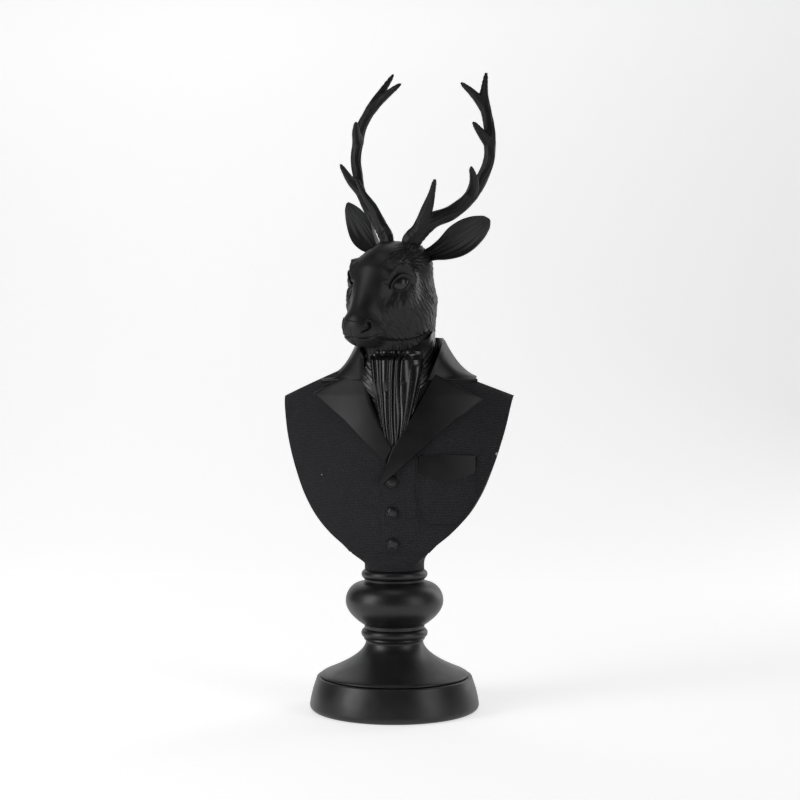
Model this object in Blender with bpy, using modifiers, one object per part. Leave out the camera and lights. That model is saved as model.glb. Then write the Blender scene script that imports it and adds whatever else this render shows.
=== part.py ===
"""A cast deer bust in a jacket and cravat, on a turned pedestal.

Metres, +Z up. The origin is the centre of the pedestal's underside, and the chest faces -Y.
"""

import math

import bmesh
import bpy
import numpy as np
from mathutils import Matrix, Vector

# Gap left between pieces that touch.
SEAT_GAP = 0.0003
SLIVER_VOLUME = 1e-8

# Turned pedestal, from the ground up.
FOOT_RADIUS = 0.080
FOOT_TOP_RADIUS = 0.0735
FOOT_HEIGHT = 0.031
FOOT_EDGE_RADIUS = 0.0047
FOOT_TOP_EDGE_RADIUS = 0.0015
FLARE_LIP_RADIUS = 0.070
FLARE_LIP_HEIGHT = 0.0025
FLARE_HEIGHT = 0.0305
STEM_RADIUS = 0.0271
LOWER_RING_RADIUS = 0.0315
LOWER_RING_HEIGHT = 0.0090
FILLET_HEIGHT = 0.0030
FILLET_RADIUS = 0.0290
CREASE_HEIGHT = 0.0030
CREASE_RADIUS = 0.0285
BULB_RADIUS = 0.0463
BULB_LOWER_HEIGHT = 0.0229
BULB_UPPER_HEIGHT = 0.0176
BULB_TOP_RADIUS = 0.0302
UPPER_RING_RADIUS = 0.0313
UPPER_RING_HEIGHT = 0.0088
PEDESTAL_TOP_RADIUS = 0.0278
PEDESTAL_STEPS = 24

# Jacket body: its height over the pedestal, then half-width, chest and back depth at named levels.
TORSO_HEIGHT = 0.190
SHOULDER_SHARE = 0.865
SHOULDER_HALF_WIDTH = 0.1115
SOCKET_RADIUS = 0.0282
CHEST_ROLL_BACK = 0.0448
BACK_ROLL_IN = 0.0249
CHEST_LEAN = 0.35
BACK_LEAN = 0.30
SIDE_CUT_INSET = 0.003
SHOULDER_SLOPE = 0.40
SHOULDER_ROLL = 0.007
HEM_STEP = 0.0010
NECK_HALF_WIDTH = 0.038

# Lapels, collar, pocket, buttons and placket lie on the chest around the fastening line.
FASTENING_X = 0.005
LAPEL_THICKNESS = 0.0022
LAPEL_SINK = 0.0030
COLLAR_THICKNESS = 0.0034
COLLAR_HOLLOW = 0.0050
COLLAR_ROWS = 10
POCKET_RAISE = 0.0009
FLAP_RAISE = 0.0019
PLACKET_RAISE = 0.0009
PLACKET_LAP = 0.0103
PLACKET_REACH = 0.0150
BUTTON_RADIUS = 0.0054
BUTTON_HEIGHT = 0.0022
BUTTON_SPACING = 0.0285
BUTTON_COUNT = 3
BUTTON_STEPS = 8
PLEAT_COUNT = 9
PLEAT_DEPTH = 0.0016
CRAVAT_TOP = 0.2050
CRAVAT_LENGTH = 0.0965
CRAVAT_HALF_WIDTH = 0.0295
CRAVAT_TIP_HALF_WIDTH = 0.0033
CRAVAT_FULLNESS = 0.0200
CRAVAT_SINK = 0.0120
CRAVAT_ROWS = 5
NECKBAND_RADIUS = 0.0370
NECKBAND_FLARE = 0.0070
NECKBAND_TOP = 0.2025
NECKBAND_RISE = 0.0200
NECKBAND_FOLD = 0.0010
NECKBAND_ROWS = 5
NECKBAND_STEPS = 24

# Deer's head and antlers, free forms held as shares of their own heights.
HEAD_HEIGHT = 0.100
HEAD_PIVOT_HEIGHT = 0.2285
NECK_SEAT_HEIGHT = 0.1735
HEAD_YAW = math.radians(-22.5)
HEAD_ROLL = math.radians(5.7)
HEAD_BLEND = 0.042
HEAD_KEPT_FACES = 0.088
ANTLER_KEPT_FACES = 0.034
ANTLER_HEIGHT = 0.164
ANTLER_ROOT_RADIUS = 0.0092
ANTLER_ROOT_DEPTH = 0.0040

BLACK_RESIN = (0.0065, 0.0065, 0.0070, 1.0)
BLACK_CLOTH = (0.0080, 0.0080, 0.0085, 1.0)


def clear_scene():
    for old in list(bpy.data.objects):
        bpy.data.objects.remove(old, do_unlink=True)


def new_collection(name, parent):
    made = bpy.data.collections.new(name)
    parent.children.link(made)
    return made


def resin(name, colour, roughness):
    made = bpy.data.materials.new(name)
    made.use_nodes = True
    shader = made.node_tree.nodes["Principled BSDF"]
    shader.inputs["Base Color"].default_value = colour
    shader.inputs["Roughness"].default_value = roughness
    shader.inputs["Metallic"].default_value = 0.0
    return made


def object_from(bm, name, holder):
    """Puts a bmesh in a new object of the collection, with its faces pointing out."""
    bmesh.ops.recalc_face_normals(bm, faces=bm.faces)
    mesh = bpy.data.meshes.new(name)
    bm.to_mesh(mesh)
    bm.free()
    made = bpy.data.objects.new(name, mesh)
    holder.objects.link(made)
    return made


def applied(obj):
    """Makes an object's evaluated mesh its own and drops its modifiers."""
    bpy.context.view_layer.update()
    seen = obj.evaluated_get(bpy.context.evaluated_depsgraph_get())
    mesh = bpy.data.meshes.new_from_object(seen)
    obj.modifiers.clear()
    obj.data = mesh
    return obj


def combine(target, other, operation, folded=False):
    """Joins another closed solid to the target, or cuts it away, and removes that solid.

    A folded solid is one whose own skin may cross itself in a crease.
    """
    change = target.modifiers.new(operation, "BOOLEAN")
    change.operation = operation
    change.solver = "EXACT"
    change.use_self = folded
    change.object = other
    applied(target)
    bpy.data.objects.remove(other, do_unlink=True)
    return target


def fill_hollows(obj):
    """Drops a joined solid's inward-facing skins, which are sealed gaps, and slivers that touch it at a corner."""
    bm = bmesh.new()
    bm.from_mesh(obj.data)
    bm.normal_update()
    left = set(bm.faces)
    dropped = []
    while left:
        edge = [left.pop()]
        skin = set(edge)
        while edge:
            near = {other for face in edge for side in face.edges for other in side.link_faces} & left
            left -= near
            skin |= near
            edge = list(near)
        if sum(face.calc_center_median().dot(face.normal) * face.calc_area() for face in skin) / 3 < SLIVER_VOLUME:
            dropped += skin
    bmesh.ops.delete(bm, geom=dropped, context="FACES")
    bm.to_mesh(obj.data)
    bm.free()


def grid_surface(rows, name, holder, closed=False):
    """An open surface through rows of points, each row as long as the first."""
    bm = bmesh.new()
    verts = [[bm.verts.new(point) for point in row] for row in rows]
    across = len(verts[0])
    for upper, lower in zip(verts, verts[1:]):
        for i in range(across if closed else across - 1):
            j = (i + 1) % across
            bm.faces.new((upper[i], upper[j], lower[j], lower[i]))
    if closed:
        bm.faces.new(verts[0])
        bm.faces.new(verts[-1])
    return object_from(bm, name, holder)


def between(points, share):
    """The point at a share of the way along a row of points, counted evenly from point to point."""
    place = share * (len(points) - 1)
    start = min(int(place), len(points) - 2)
    return np.array(points[start]) * (1 - place + start) + np.array(points[start + 1]) * (place - start)


def eased(value, places, values):
    """A smooth curve through values at rising places (cubic, with slopes from the neighbours)."""
    places = np.asarray(places, float)
    values = np.asarray(values, float)
    slopes = np.gradient(values, places)
    value = np.clip(value, places[0], places[-1])
    i = np.clip(np.searchsorted(places, value) - 1, 0, len(places) - 2)
    span = places[i + 1] - places[i]
    t = (value - places[i]) / span
    start = values[i] * (1 + 2 * t) * (1 - t) ** 2 + slopes[i] * span * t * (1 - t) ** 2
    return start + values[i + 1] * t * t * (3 - 2 * t) - slopes[i + 1] * span * t * t * (1 - t)


def ease_step(value):
    value = np.clip(value, 0.0, 1.0)
    return value * value * (3 - 2 * value)


# Pedestal

def arc(centre_r, centre_z, size_r, size_z, start, end, steps):
    """Points along part of an ellipse in the profile's plane, angles in degrees."""
    angles = np.radians(np.linspace(start, end, steps + 1))
    return [(centre_r + size_r * math.cos(a), centre_z + size_z * math.sin(a)) for a in angles]


def pedestal_levels():
    """Heights of the turned parts' lower edges, stacked from the ground up."""
    flare = FOOT_HEIGHT + FLARE_LIP_HEIGHT
    lower_ring = flare + FLARE_HEIGHT + FILLET_HEIGHT
    crease = lower_ring + LOWER_RING_HEIGHT
    bulb = crease + CREASE_HEIGHT
    bulb_middle = bulb + BULB_LOWER_HEIGHT
    bulb_top = bulb_middle + BULB_UPPER_HEIGHT
    upper_ring = bulb_top + CREASE_HEIGHT
    return flare, lower_ring, crease, bulb, bulb_middle, bulb_top, upper_ring, upper_ring + UPPER_RING_HEIGHT


def pedestal_profile():
    """The turned outline from the top centre, down the outer side, to the underside's centre."""
    flare, lower_ring, crease, bulb, bulb_middle, bulb_top, upper_ring, top = pedestal_levels()
    ring = UPPER_RING_HEIGHT / 2
    points = [(0.0, top), (PEDESTAL_TOP_RADIUS, top)]
    points += arc(UPPER_RING_RADIUS - ring, upper_ring + ring, ring, ring, 75, -78, 4)
    points += [(CREASE_RADIUS, upper_ring), (CREASE_RADIUS, bulb_top + CREASE_HEIGHT / 3), (BULB_TOP_RADIUS, bulb_top)]
    points += arc(BULB_TOP_RADIUS, bulb_middle, BULB_RADIUS - BULB_TOP_RADIUS, BULB_UPPER_HEIGHT, 80, 0, 4)
    for share in np.linspace(0, 1, 5)[1:]:
        points.append((CREASE_RADIUS + (BULB_RADIUS - CREASE_RADIUS) * (1 - share**2),
                       bulb_middle - share * BULB_LOWER_HEIGHT))
    points.append((CREASE_RADIUS, crease))
    ring = LOWER_RING_HEIGHT / 2
    points += arc(LOWER_RING_RADIUS - ring, lower_ring + ring, ring, ring, 75, -70, 4)
    points.append((FILLET_RADIUS, lower_ring - FILLET_HEIGHT / 3))
    for share in np.linspace(0, 0.96, 6):
        points.append((STEM_RADIUS + (FLARE_LIP_RADIUS - STEM_RADIUS) * share**1.85,
                       lower_ring - FILLET_HEIGHT - share * FLARE_HEIGHT))
    points += arc(FLARE_LIP_RADIUS - FLARE_LIP_HEIGHT / 2, FOOT_HEIGHT + FLARE_LIP_HEIGHT / 2,
                  FLARE_LIP_HEIGHT / 2, FLARE_LIP_HEIGHT / 2, 50, -80, 2)
    points += arc(FOOT_TOP_RADIUS - FOOT_TOP_EDGE_RADIUS, FOOT_HEIGHT - FOOT_TOP_EDGE_RADIUS,
                  FOOT_TOP_EDGE_RADIUS, FOOT_TOP_EDGE_RADIUS, 90, 10, 2)
    wall = FOOT_HEIGHT - FOOT_TOP_EDGE_RADIUS - FOOT_EDGE_RADIUS
    for share in (0.33, 0.67):
        points.append((FOOT_TOP_RADIUS + (FOOT_RADIUS - FOOT_TOP_RADIUS) * share * (1.5 - share / 2),
                       FOOT_HEIGHT - FOOT_TOP_EDGE_RADIUS - share * wall))
    points += arc(FOOT_RADIUS - FOOT_EDGE_RADIUS, FOOT_EDGE_RADIUS, FOOT_EDGE_RADIUS, FOOT_EDGE_RADIUS, 5, -90, 3)
    points.append((0.0, 0.0))
    return points


def make_pedestal(holder):
    mesh = bpy.data.meshes.new("pedestal")
    points = pedestal_profile()
    edges = [(i, i + 1) for i in range(len(points) - 1)]
    mesh.from_pydata([(r, 0.0, z) for r, z in points], edges, [])
    made = bpy.data.objects.new("pedestal", mesh)
    holder.objects.link(made)
    turn = made.modifiers.new("turned", "SCREW")
    turn.axis = "Z"
    turn.steps = PEDESTAL_STEPS
    turn.render_steps = PEDESTAL_STEPS
    turn.use_merge_vertices = True
    turn.merge_threshold = 0.00001
    turn.use_smooth_shade = True
    made.data.materials.append(resin("satin_resin", BLACK_RESIN, 0.42))
    return made


# Jacket body

PEDESTAL_TOP = pedestal_levels()[-1]
BODY_BOTTOM = PEDESTAL_TOP + SEAT_GAP

# Levels as shares of the way from the socket to the shoulder corners, and the body's sizes there
# as shares of the shoulders' half-width and of the body's height.
LEVELS = (0.0, 0.083, 0.13, 0.217, 0.305, 0.40, 0.58, 0.76, 1.0)
HALF_WIDTHS = (0.253, 0.308, 0.363, 0.513, 0.633, 0.724, 0.841, 0.927, 1.0)
CHEST_DEPTHS = (0.0, 0.020, 0.030, 0.046, 0.057, 0.067, 0.073, 0.062, 0.017)
BACK_DEPTHS = (0.0, 0.015, 0.025, 0.046, 0.062, 0.073, 0.088, 0.099, 0.104)
HEM_SHARE = 0.110


def body_share(z):
    return (z - BODY_BOTTOM) / (SHOULDER_HEIGHT - BODY_BOTTOM)


SHOULDER_HEIGHT = BODY_BOTTOM + TORSO_HEIGHT * SHOULDER_SHARE


def half_width(z):
    """Half the jacket's width: the cut sides up to the shoulder corners, then the sloping shoulders."""
    below = SHOULDER_HALF_WIDTH * eased(body_share(z), LEVELS, HALF_WIDTHS)
    above = SHOULDER_HALF_WIDTH - (z - SHOULDER_HEIGHT) / SHOULDER_SLOPE
    return np.where(z <= SHOULDER_HEIGHT, below, above)


def chest_y(x, z):
    """The chest's front surface, which bulges ahead of the cut sides and rolls back at the shoulders."""
    depth = SOCKET_RADIUS + TORSO_HEIGHT * eased(body_share(z), LEVELS, CHEST_DEPTHS)
    above = np.maximum(z - SHOULDER_HEIGHT, 0.0)
    ridge = SHOULDER_HEIGHT + np.maximum(SHOULDER_HALF_WIDTH - np.abs(x), 0.0) * SHOULDER_SLOPE
    near = np.clip(1 - (ridge - z) / (2 * SHOULDER_ROLL), 0.0, 1.0)
    roll = SHOULDER_ROLL * (1 - np.sqrt(1 - near**2 * 0.96))
    return CHEST_ROLL_BACK * (x / SHOULDER_HALF_WIDTH) ** 2 - depth + above * CHEST_LEAN + roll


def back_y(x, z):
    """The jacket's plain back."""
    depth = SOCKET_RADIUS + TORSO_HEIGHT * eased(body_share(z), LEVELS, BACK_DEPTHS)
    above = np.maximum(z - SHOULDER_HEIGHT, 0.0)
    return depth - BACK_ROLL_IN * (x / SHOULDER_HALF_WIDTH) ** 2 - above * BACK_LEAN


def body_section(z, front_steps, side_steps):
    """One level cut through the body, from the front's left edge round to the back."""
    wide = float(half_width(z))
    xs = np.linspace(-wide, wide, front_steps + 1)
    points = [(x, float(chest_y(x, z))) for x in xs]
    back_wide = max(wide - SIDE_CUT_INSET, wide * 0.9)
    backs = [(x, float(back_y(x, z))) for x in np.linspace(back_wide, -back_wide, front_steps // 2 + 1)]
    right = [tuple(between([points[-1], backs[0]], i / side_steps)) for i in range(1, side_steps)]
    left = [tuple(between([backs[-1], points[0]], i / side_steps)) for i in range(1, side_steps)]
    loop = points + right + backs + left
    round_share = 1 - ease_step(body_share(z) / HEM_SHARE)
    made = []
    for x, y in loop:
        angle = math.atan2(y, x)
        ring = (SOCKET_RADIUS * math.cos(angle), SOCKET_RADIUS * math.sin(angle))
        inset = 1 - HEM_STEP / math.hypot(x, y) * (1 - round_share) * (z <= chest_level(HEM_SHARE))
        made.append(((x + (ring[0] - x) * round_share) * inset, (y + (ring[1] - y) * round_share) * inset, z))
    return made


def make_body(holder):
    hem = chest_level(HEM_SHARE)
    plain = list(np.linspace(BODY_BOTTOM, hem, 5))
    jacket = list(np.linspace(hem + HEM_STEP, SHOULDER_HEIGHT, 11))
    top = SHOULDER_HEIGHT + (SHOULDER_HALF_WIDTH - NECK_HALF_WIDTH) * SHOULDER_SLOPE
    shoulders = list(np.linspace(SHOULDER_HEIGHT, top, 6))[1:]
    rows = [body_section(z, 12, 2) for z in plain + jacket + shoulders]
    return grid_surface(rows, "bust", holder, closed=True)


# Things that lie on the chest

def on_chest(x, z, lift):
    """A point over the chest's surface; x is measured from the fastening line."""
    x = x + FASTENING_X
    return (x, float(chest_y(x, z)) - lift, z)


def ruled_piece(inner, outer, lifts, counts, name, holder):
    """A slab on the chest between two edges, each given by (x, z) points, sunk a little into the body."""
    along, across = counts
    tops = []
    sunk = []
    for i in range(along + 1):
        start = between(inner, i / along)
        end = between(outer, i / along)
        line = [start + (end - start) * j / across for j in range(across + 1)]
        raised = [lifts[0] + (lifts[1] - lifts[0]) * j / across for j in range(across + 1)]
        tops.append([on_chest(p[0], p[1], lift) for p, lift in zip(line, raised)])
        sunk.append([on_chest(p[0], p[1], -LAPEL_SINK) for p in reversed(line)])
    rows = [top + under for top, under in zip(tops, sunk)]
    return grid_surface(rows, name, holder, closed=True)


def chest_level(share):
    """A height on the chest, as a share from the body's bottom to the shoulder corners."""
    return BODY_BOTTOM + share * (SHOULDER_HEIGHT - BODY_BOTTOM)


def lapel_edges(side):
    """The roll edge and the outer edge of one lapel, top to bottom; the wearer's left one runs on lower."""
    wide = SHOULDER_HALF_WIDTH
    roll = [(0.30 * wide, chest_level(1.085)), (0.20 * wide, chest_level(0.95)), (0.10 * wide, chest_level(0.82))]
    cut = [(0.49 * wide, chest_level(1.085)), (0.73 * wide, chest_level(0.995)), (0.44 * wide, chest_level(0.86))]
    if side > 0:
        roll += [(0.0, chest_level(0.705)), (-0.055 * wide, chest_level(0.605)), (-0.096 * wide, chest_level(0.505))]
        cut += [(0.30 * wide, chest_level(0.745)), (0.10 * wide, chest_level(0.61)), (-0.09 * wide, chest_level(0.497))]
    else:
        roll += [(0.045 * wide, chest_level(0.745)), (0.0, chest_level(0.69)), (-0.02 * wide, chest_level(0.62))]
        cut += [(0.27 * wide, chest_level(0.755)), (0.15 * wide, chest_level(0.68)), (0.03 * wide, chest_level(0.61))]
    return [(side * x, z) for x, z in roll], [(side * x, z) for x, z in cut]


def make_lapel(side, holder):
    roll, cut = lapel_edges(side)
    lift = LAPEL_THICKNESS * (1.5 if side > 0 else 1.0)
    return ruled_piece(roll, cut, (lift, lift), (10, 2), "lapel", holder)


# The collar's neck edge and fallen edge behind the front tips, to one side: the first as shares of the
# neckband's radius, the second of the shoulders' half-width, each with a height over the body's bottom.
COLLAR_NECK = ((1.079, -0.452, 0.2008), (1.091, 0.211, 0.2158), (0.859, 0.964, 0.2188), (0.0, 1.236, 0.2208))
COLLAR_FALL = ((0.665, 0.11, 0.1826), (0.65, 0.31, 0.1796), (0.40, 0.475, 0.1756), (0.0, 0.53, 0.1736))
COLLAR_FRONT = 1.085


def collar_edges(turn, side):
    """The neck edge and the fallen edge of the collar, at a turn from the front tip round to the back."""
    lines = []
    for reach, start, rise, line in ((NECKBAND_RADIUS, 0.859, 0.0, COLLAR_NECK),
                                     (SHOULDER_HALF_WIDTH, 0.595, 0.002, COLLAR_FALL)):
        points = [on_chest(side * start * reach, chest_level(COLLAR_FRONT) + rise, COLLAR_THICKNESS)]
        points += [(side * x * reach + FASTENING_X, y * reach, BODY_BOTTOM + z) for x, y, z in line]
        lines.append(between(points, turn))
    return lines


def make_collar(holder):
    rows = []
    for step in range(-COLLAR_ROWS, COLLAR_ROWS + 1):
        turn = 1 - abs(step) / COLLAR_ROWS
        neck, edge = collar_edges(turn, -1 if step < 0 else 1)
        row = []
        for share in (0.0, 0.3, 0.65, 1.0):
            point = neck + (edge - neck) * share
            hollow = COLLAR_HOLLOW * math.sin(math.pi * share) * min(2.5 * turn, 1.0)
            row.append((point[0], point[1], point[2] - hollow))
        rows.append(row)
    made = grid_surface(rows, "collar", holder)
    shell = made.modifiers.new("cloth thickness", "SOLIDIFY")
    shell.thickness = COLLAR_THICKNESS
    shell.offset = 0.0
    return applied(made)


def make_cravat(holder):
    """The bib of pleats, full under the throat and drawn to a point where the lapels cross."""
    rows = []
    columns = PLEAT_COUNT * 4
    top = BODY_BOTTOM + CRAVAT_TOP
    for step in range(CRAVAT_ROWS + 1):
        share = step / CRAVAT_ROWS
        wide = CRAVAT_TIP_HALF_WIDTH + (CRAVAT_HALF_WIDTH - CRAVAT_TIP_HALF_WIDTH) * (1 - share) ** 0.7
        fullness = CRAVAT_FULLNESS * (1 - share) ** 1.2 + FLAP_RAISE / 2
        row = []
        for i in range(columns + 1):
            across = 2 * i / columns - 1
            fold = PLEAT_DEPTH * math.cos(2 * math.pi * PLEAT_COUNT * i / columns + 0.9 * math.sin(3 * share))
            row.append(on_chest(across * wide, top - share * CRAVAT_LENGTH, fullness * (1 - 0.5 * across**2) + fold))
        sunk = [(p[0], p[1] + CRAVAT_SINK, p[2]) for p in reversed(row[::4])]
        rows.append(row + sunk)
    return grid_surface(rows, "cravat", holder, closed=True)


def make_neckband(holder):
    """The cravat's band round the neck, in slanting folds, higher behind than under the throat."""
    bottom = chest_level(1.0)
    rows = []
    for step in range(NECKBAND_ROWS + 1):
        share = step / NECKBAND_ROWS
        row = []
        for i in range(NECKBAND_STEPS):
            angle = 2 * math.pi * i / NECKBAND_STEPS
            from_front = abs(math.atan2(math.cos(angle), -math.sin(angle)))
            top = BODY_BOTTOM + NECKBAND_TOP + NECKBAND_RISE * float(ease_step((from_front - 0.70) / 0.85))
            fold = NECKBAND_FOLD * math.cos(2 * math.pi * (2.5 * share - 0.8 * from_front)) * (1 - share)
            wide = NECKBAND_RADIUS + NECKBAND_FLARE * (1 - share) + fold
            row.append((wide * math.cos(angle), wide * math.sin(angle), bottom + (top - bottom) * share))
        rows.append(row)
    return grid_surface(rows, "neckband", holder, closed=True)


def make_button(height, holder):
    """A domed button with a low rim, square to the chest."""
    x = FASTENING_X
    slope = float(chest_y(x, height + 0.002) - chest_y(x, height - 0.002)) / 0.004
    profile = [(0.0, 1.0), (0.55, 0.92), (0.74, 0.62), (0.82, 0.95), (0.95, 0.9), (1.0, 0.4), (1.0, -1.6), (0.0, -1.6)]
    mesh = bpy.data.meshes.new("button")
    mesh.from_pydata([(r * BUTTON_RADIUS, 0.0, h * BUTTON_HEIGHT) for r, h in profile],
                     [(i, i + 1) for i in range(len(profile) - 1)], [])
    made = bpy.data.objects.new("button", mesh)
    holder.objects.link(made)
    turn = made.modifiers.new("turned", "SCREW")
    turn.steps = BUTTON_STEPS
    turn.render_steps = BUTTON_STEPS
    turn.use_merge_vertices = True
    turn.merge_threshold = 0.00001
    applied(made)
    made.matrix_world = (Matrix.Translation((x, float(chest_y(x, height)), height))
                         @ Matrix.Rotation(math.radians(90) - math.atan(slope), 4, "X"))
    return made


def pocket_pieces(holder):
    """A patch pocket as a raised outline and a pointed flap, on the wearer's left breast."""
    wide = SHOULDER_HALF_WIDTH
    left = 0.215 * wide
    right = 0.665 * wide
    top = chest_level(0.668)
    flap = chest_level(0.575)
    tip = chest_level(0.508)
    bottom = chest_level(0.268)
    corner = 0.010
    middle = (left + right) / 2
    made = [ruled_piece([(left, top), (middle, top), (right, top)], [(left, flap), (middle, tip), (right, flap)],
                        (FLAP_RAISE, FLAP_RAISE), (8, 2), "flap", holder)]
    patch_left = [(left - 0.001, top - 0.004), (left - 0.001, bottom + corner), (left + corner, bottom)]
    patch_right = [(right + 0.001, top - 0.004), (right + 0.001, bottom + corner + 0.014), (right - 0.018, bottom)]
    made.append(ruled_piece(patch_left, patch_right, (POCKET_RAISE, POCKET_RAISE), (6, 4), "patch", holder))
    return made


def make_placket(holder):
    """The front edge that laps over to the wearer's right, flush again behind the buttons."""
    top = chest_level(0.52)
    low = chest_level(HEM_SHARE) + HEM_STEP
    lapped = [(-PLACKET_LAP, top), (-PLACKET_LAP, low)]
    flush = [(PLACKET_REACH, top), (PLACKET_REACH, low)]
    return ruled_piece(lapped, flush, (PLACKET_RAISE, -PLACKET_RAISE / 2), (6, 2), "placket", holder)


# Deer's head

def head_frame():
    lift = BODY_BOTTOM + HEAD_PIVOT_HEIGHT
    return (Matrix.Translation((0.0, 0.0, lift)) @ Matrix.Rotation(HEAD_YAW, 4, "Z")
            @ Matrix.Rotation(HEAD_ROLL, 4, "Y"))


# Soft masses of the head as shares of its height: (middle, half-sizes), x to the deer's left, y back, z up.
LUMPS = (
    ((0.0, -0.04, 0.46), (0.30, 0.41, 0.335)),
    ((0.0, -0.30, 0.52), (0.21, 0.19, 0.20)),
    ((0.0, -0.61, 0.0), (0.125, 0.075, 0.08)),
    ((0.0, -0.540, -0.085), (0.130, 0.115, 0.068)),
)
PAIRED_LUMPS = (
    ((0.17, -0.22, 0.20), (0.145, 0.23, 0.22)),
    ((0.195, -0.07, 0.13), (0.150, 0.22, 0.17)),
    ((0.135, -0.03, 0.735), (0.085, 0.085, 0.06)),
    ((0.20, 0.0, 0.60), (0.125, 0.13, 0.13)),
)
# Tapering limbs: (start, end, start radius, end radius). The neck comes first, and its seat in the collar second.
LIMBS = (
    ((0.0, 0.02, -0.30), (0.0, 0.05, 0.22), 0.378, 0.355),
    ((0.0, 0.01, -(HEAD_PIVOT_HEIGHT - NECK_SEAT_HEIGHT) / HEAD_HEIGHT), (0.0, 0.02, -0.30), 0.30, 0.36),
    ((0.0, -0.37, 0.44), (0.0, -0.585, 0.05), 0.180, 0.10),
    ((0.0, -0.25, -0.01), (0.0, -0.530, -0.100), 0.15, 0.058),
)
PAIRED_LIMBS = (
    ((0.15, -0.30, 0.24), (0.055, -0.53, -0.01), 0.120, 0.085),
    ((0.13, -0.06, 0.02), (0.045, -0.48, -0.070), 0.13, 0.08),
    ((0.195, -0.430, 0.490), (0.280, -0.360, 0.522), 0.047, 0.047),
    ((0.280, -0.360, 0.522), (0.290, -0.245, 0.470), 0.047, 0.040),
    ((0.175, -0.430, 0.320), (0.240, -0.350, 0.290), 0.050, 0.050),
    ((0.240, -0.350, 0.290), (0.265, -0.235, 0.310), 0.050, 0.045),
)
EYE_MIDDLE = (0.238, -0.352, 0.412)
EYE_RADIUS = 0.088
NOSTRIL = ((0.128, -0.640, 0.016), (0.136, -0.636, -0.006), (0.122, -0.648, -0.028), (0.084, -0.672, -0.056))
NOSTRIL_RADIUS = 0.015
MOUTH_RADIUS = 0.010


def blended_field(points, lumps, limbs, blend):
    """How far points lie outside softly blended ellipsoids and tapering limbs."""
    fields = []
    for middle, sizes in lumps:
        scaled = (points - np.array(middle)) / np.array(sizes)
        reach = np.linalg.norm(scaled, axis=1)
        steep = np.linalg.norm(scaled / np.array(sizes), axis=1) + 1e-9
        fields.append(reach * (reach - 1) / steep)
    for start, end, first, last in limbs:
        start = np.array(start)
        run = np.array(end) - start
        share = np.clip((points - start) @ run / (run @ run), 0, 1)
        fields.append(np.linalg.norm(points - start - share[:, None] * run, axis=1) - first - (last - first) * share)
    fields = np.array(fields)
    lowest = fields.min(axis=0)
    return lowest - blend * np.log(np.exp(-(fields - lowest) / blend).sum(axis=0))


def settle(points, lumps, limbs, blend):
    """Moves points onto the blended surface."""
    step = 1e-3
    for _ in range(6):
        value = blended_field(points, lumps, limbs, blend)
        slope = np.stack([(blended_field(points + step * axis, lumps, limbs, blend)
                           - blended_field(points - step * axis, lumps, limbs, blend)) / (2 * step)
                          for axis in np.eye(3)], axis=1)
        points = points - (value / np.maximum((slope**2).sum(axis=1), 0.2))[:, None] * slope
    return points


def blended_solid(lumps, limbs, blend, fineness, kept_faces, name, holder):
    """One closed skin over all the masses, with soft joints between them."""
    bm = bmesh.new()
    for middle, sizes in lumps:
        place = Matrix.Translation(middle) @ Matrix.Diagonal((*sizes, 1.0))
        bmesh.ops.create_icosphere(bm, subdivisions=3, radius=1.0, matrix=place)
    for start, end, first, last in limbs:
        run = Vector(end) - Vector(start)
        turn = run.to_track_quat("Z", "Y").to_matrix().to_4x4()
        middle = (Vector(start) + Vector(end)) / 2
        bmesh.ops.create_cone(bm, cap_ends=True, segments=24, radius1=first, radius2=last, depth=run.length,
                              matrix=Matrix.Translation(middle) @ turn)
        bmesh.ops.create_icosphere(bm, subdivisions=2, radius=first, matrix=Matrix.Translation(start))
        bmesh.ops.create_icosphere(bm, subdivisions=2, radius=last, matrix=Matrix.Translation(end))
    made = object_from(bm, name, holder)
    skin = made.modifiers.new("skin", "REMESH")
    skin.mode = "VOXEL"
    skin.voxel_size = fineness
    applied(made)
    count = len(made.data.vertices)
    points = np.empty(count * 3)
    made.data.vertices.foreach_get("co", points)
    made.data.vertices.foreach_set("co", settle(points.reshape(-1, 3), lumps, limbs, blend).ravel())
    made.data.update()
    thin = made.modifiers.new("fewer faces", "DECIMATE")
    thin.ratio = kept_faces
    return applied(made)


def turned(point, side):
    return (side * point[0], point[1], point[2])


def head_masses():
    """All the head's lumps and limbs, the paired ones on both sides."""
    lumps = LUMPS + tuple((turned(middle, side), sizes) for middle, sizes in PAIRED_LUMPS for side in (-1, 1))
    pairs = tuple((turned(start, side), turned(end, side), first, last)
                  for start, end, first, last in PAIRED_LIMBS for side in (-1, 1))
    return lumps, LIMBS + pairs


def make_head(holder):
    made = blended_solid(*head_masses(), HEAD_BLEND, 0.035, HEAD_KEPT_FACES, "head", holder)
    for side in (-1, 1):
        combine(made, make_eye(side, holder), "UNION")
        combine(made, make_nostril(side, holder), "DIFFERENCE")
    combine(made, make_mouth(holder), "DIFFERENCE")
    for side in (-1, 1):
        combine(made, make_ear(side, holder), "UNION")
    made.data.transform(head_frame() @ Matrix.Scale(HEAD_HEIGHT, 4))
    return made


def make_eye(side, holder):
    bm = bmesh.new()
    place = (Matrix.Translation((side * EYE_MIDDLE[0], EYE_MIDDLE[1], EYE_MIDDLE[2]))
             @ Matrix.Rotation(side * math.radians(35), 4, "Z") @ Matrix.Diagonal((1.0, 1.12, 0.86, 1.0)))
    bmesh.ops.create_uvsphere(bm, u_segments=10, v_segments=6, radius=EYE_RADIUS, matrix=place)
    return object_from(bm, "eye", holder)


def make_nostril(side, holder):
    """A comma-shaped hollow, wide at the front and drawn back and down."""
    path = [np.array([[side * x, y, z]]) for x, y, z in NOSTRIL]
    points = [tuple(settle(point, *head_masses(), HEAD_BLEND)[0]) for point in path]
    return tube(points, NOSTRIL_RADIUS, "nostril", holder)


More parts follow.
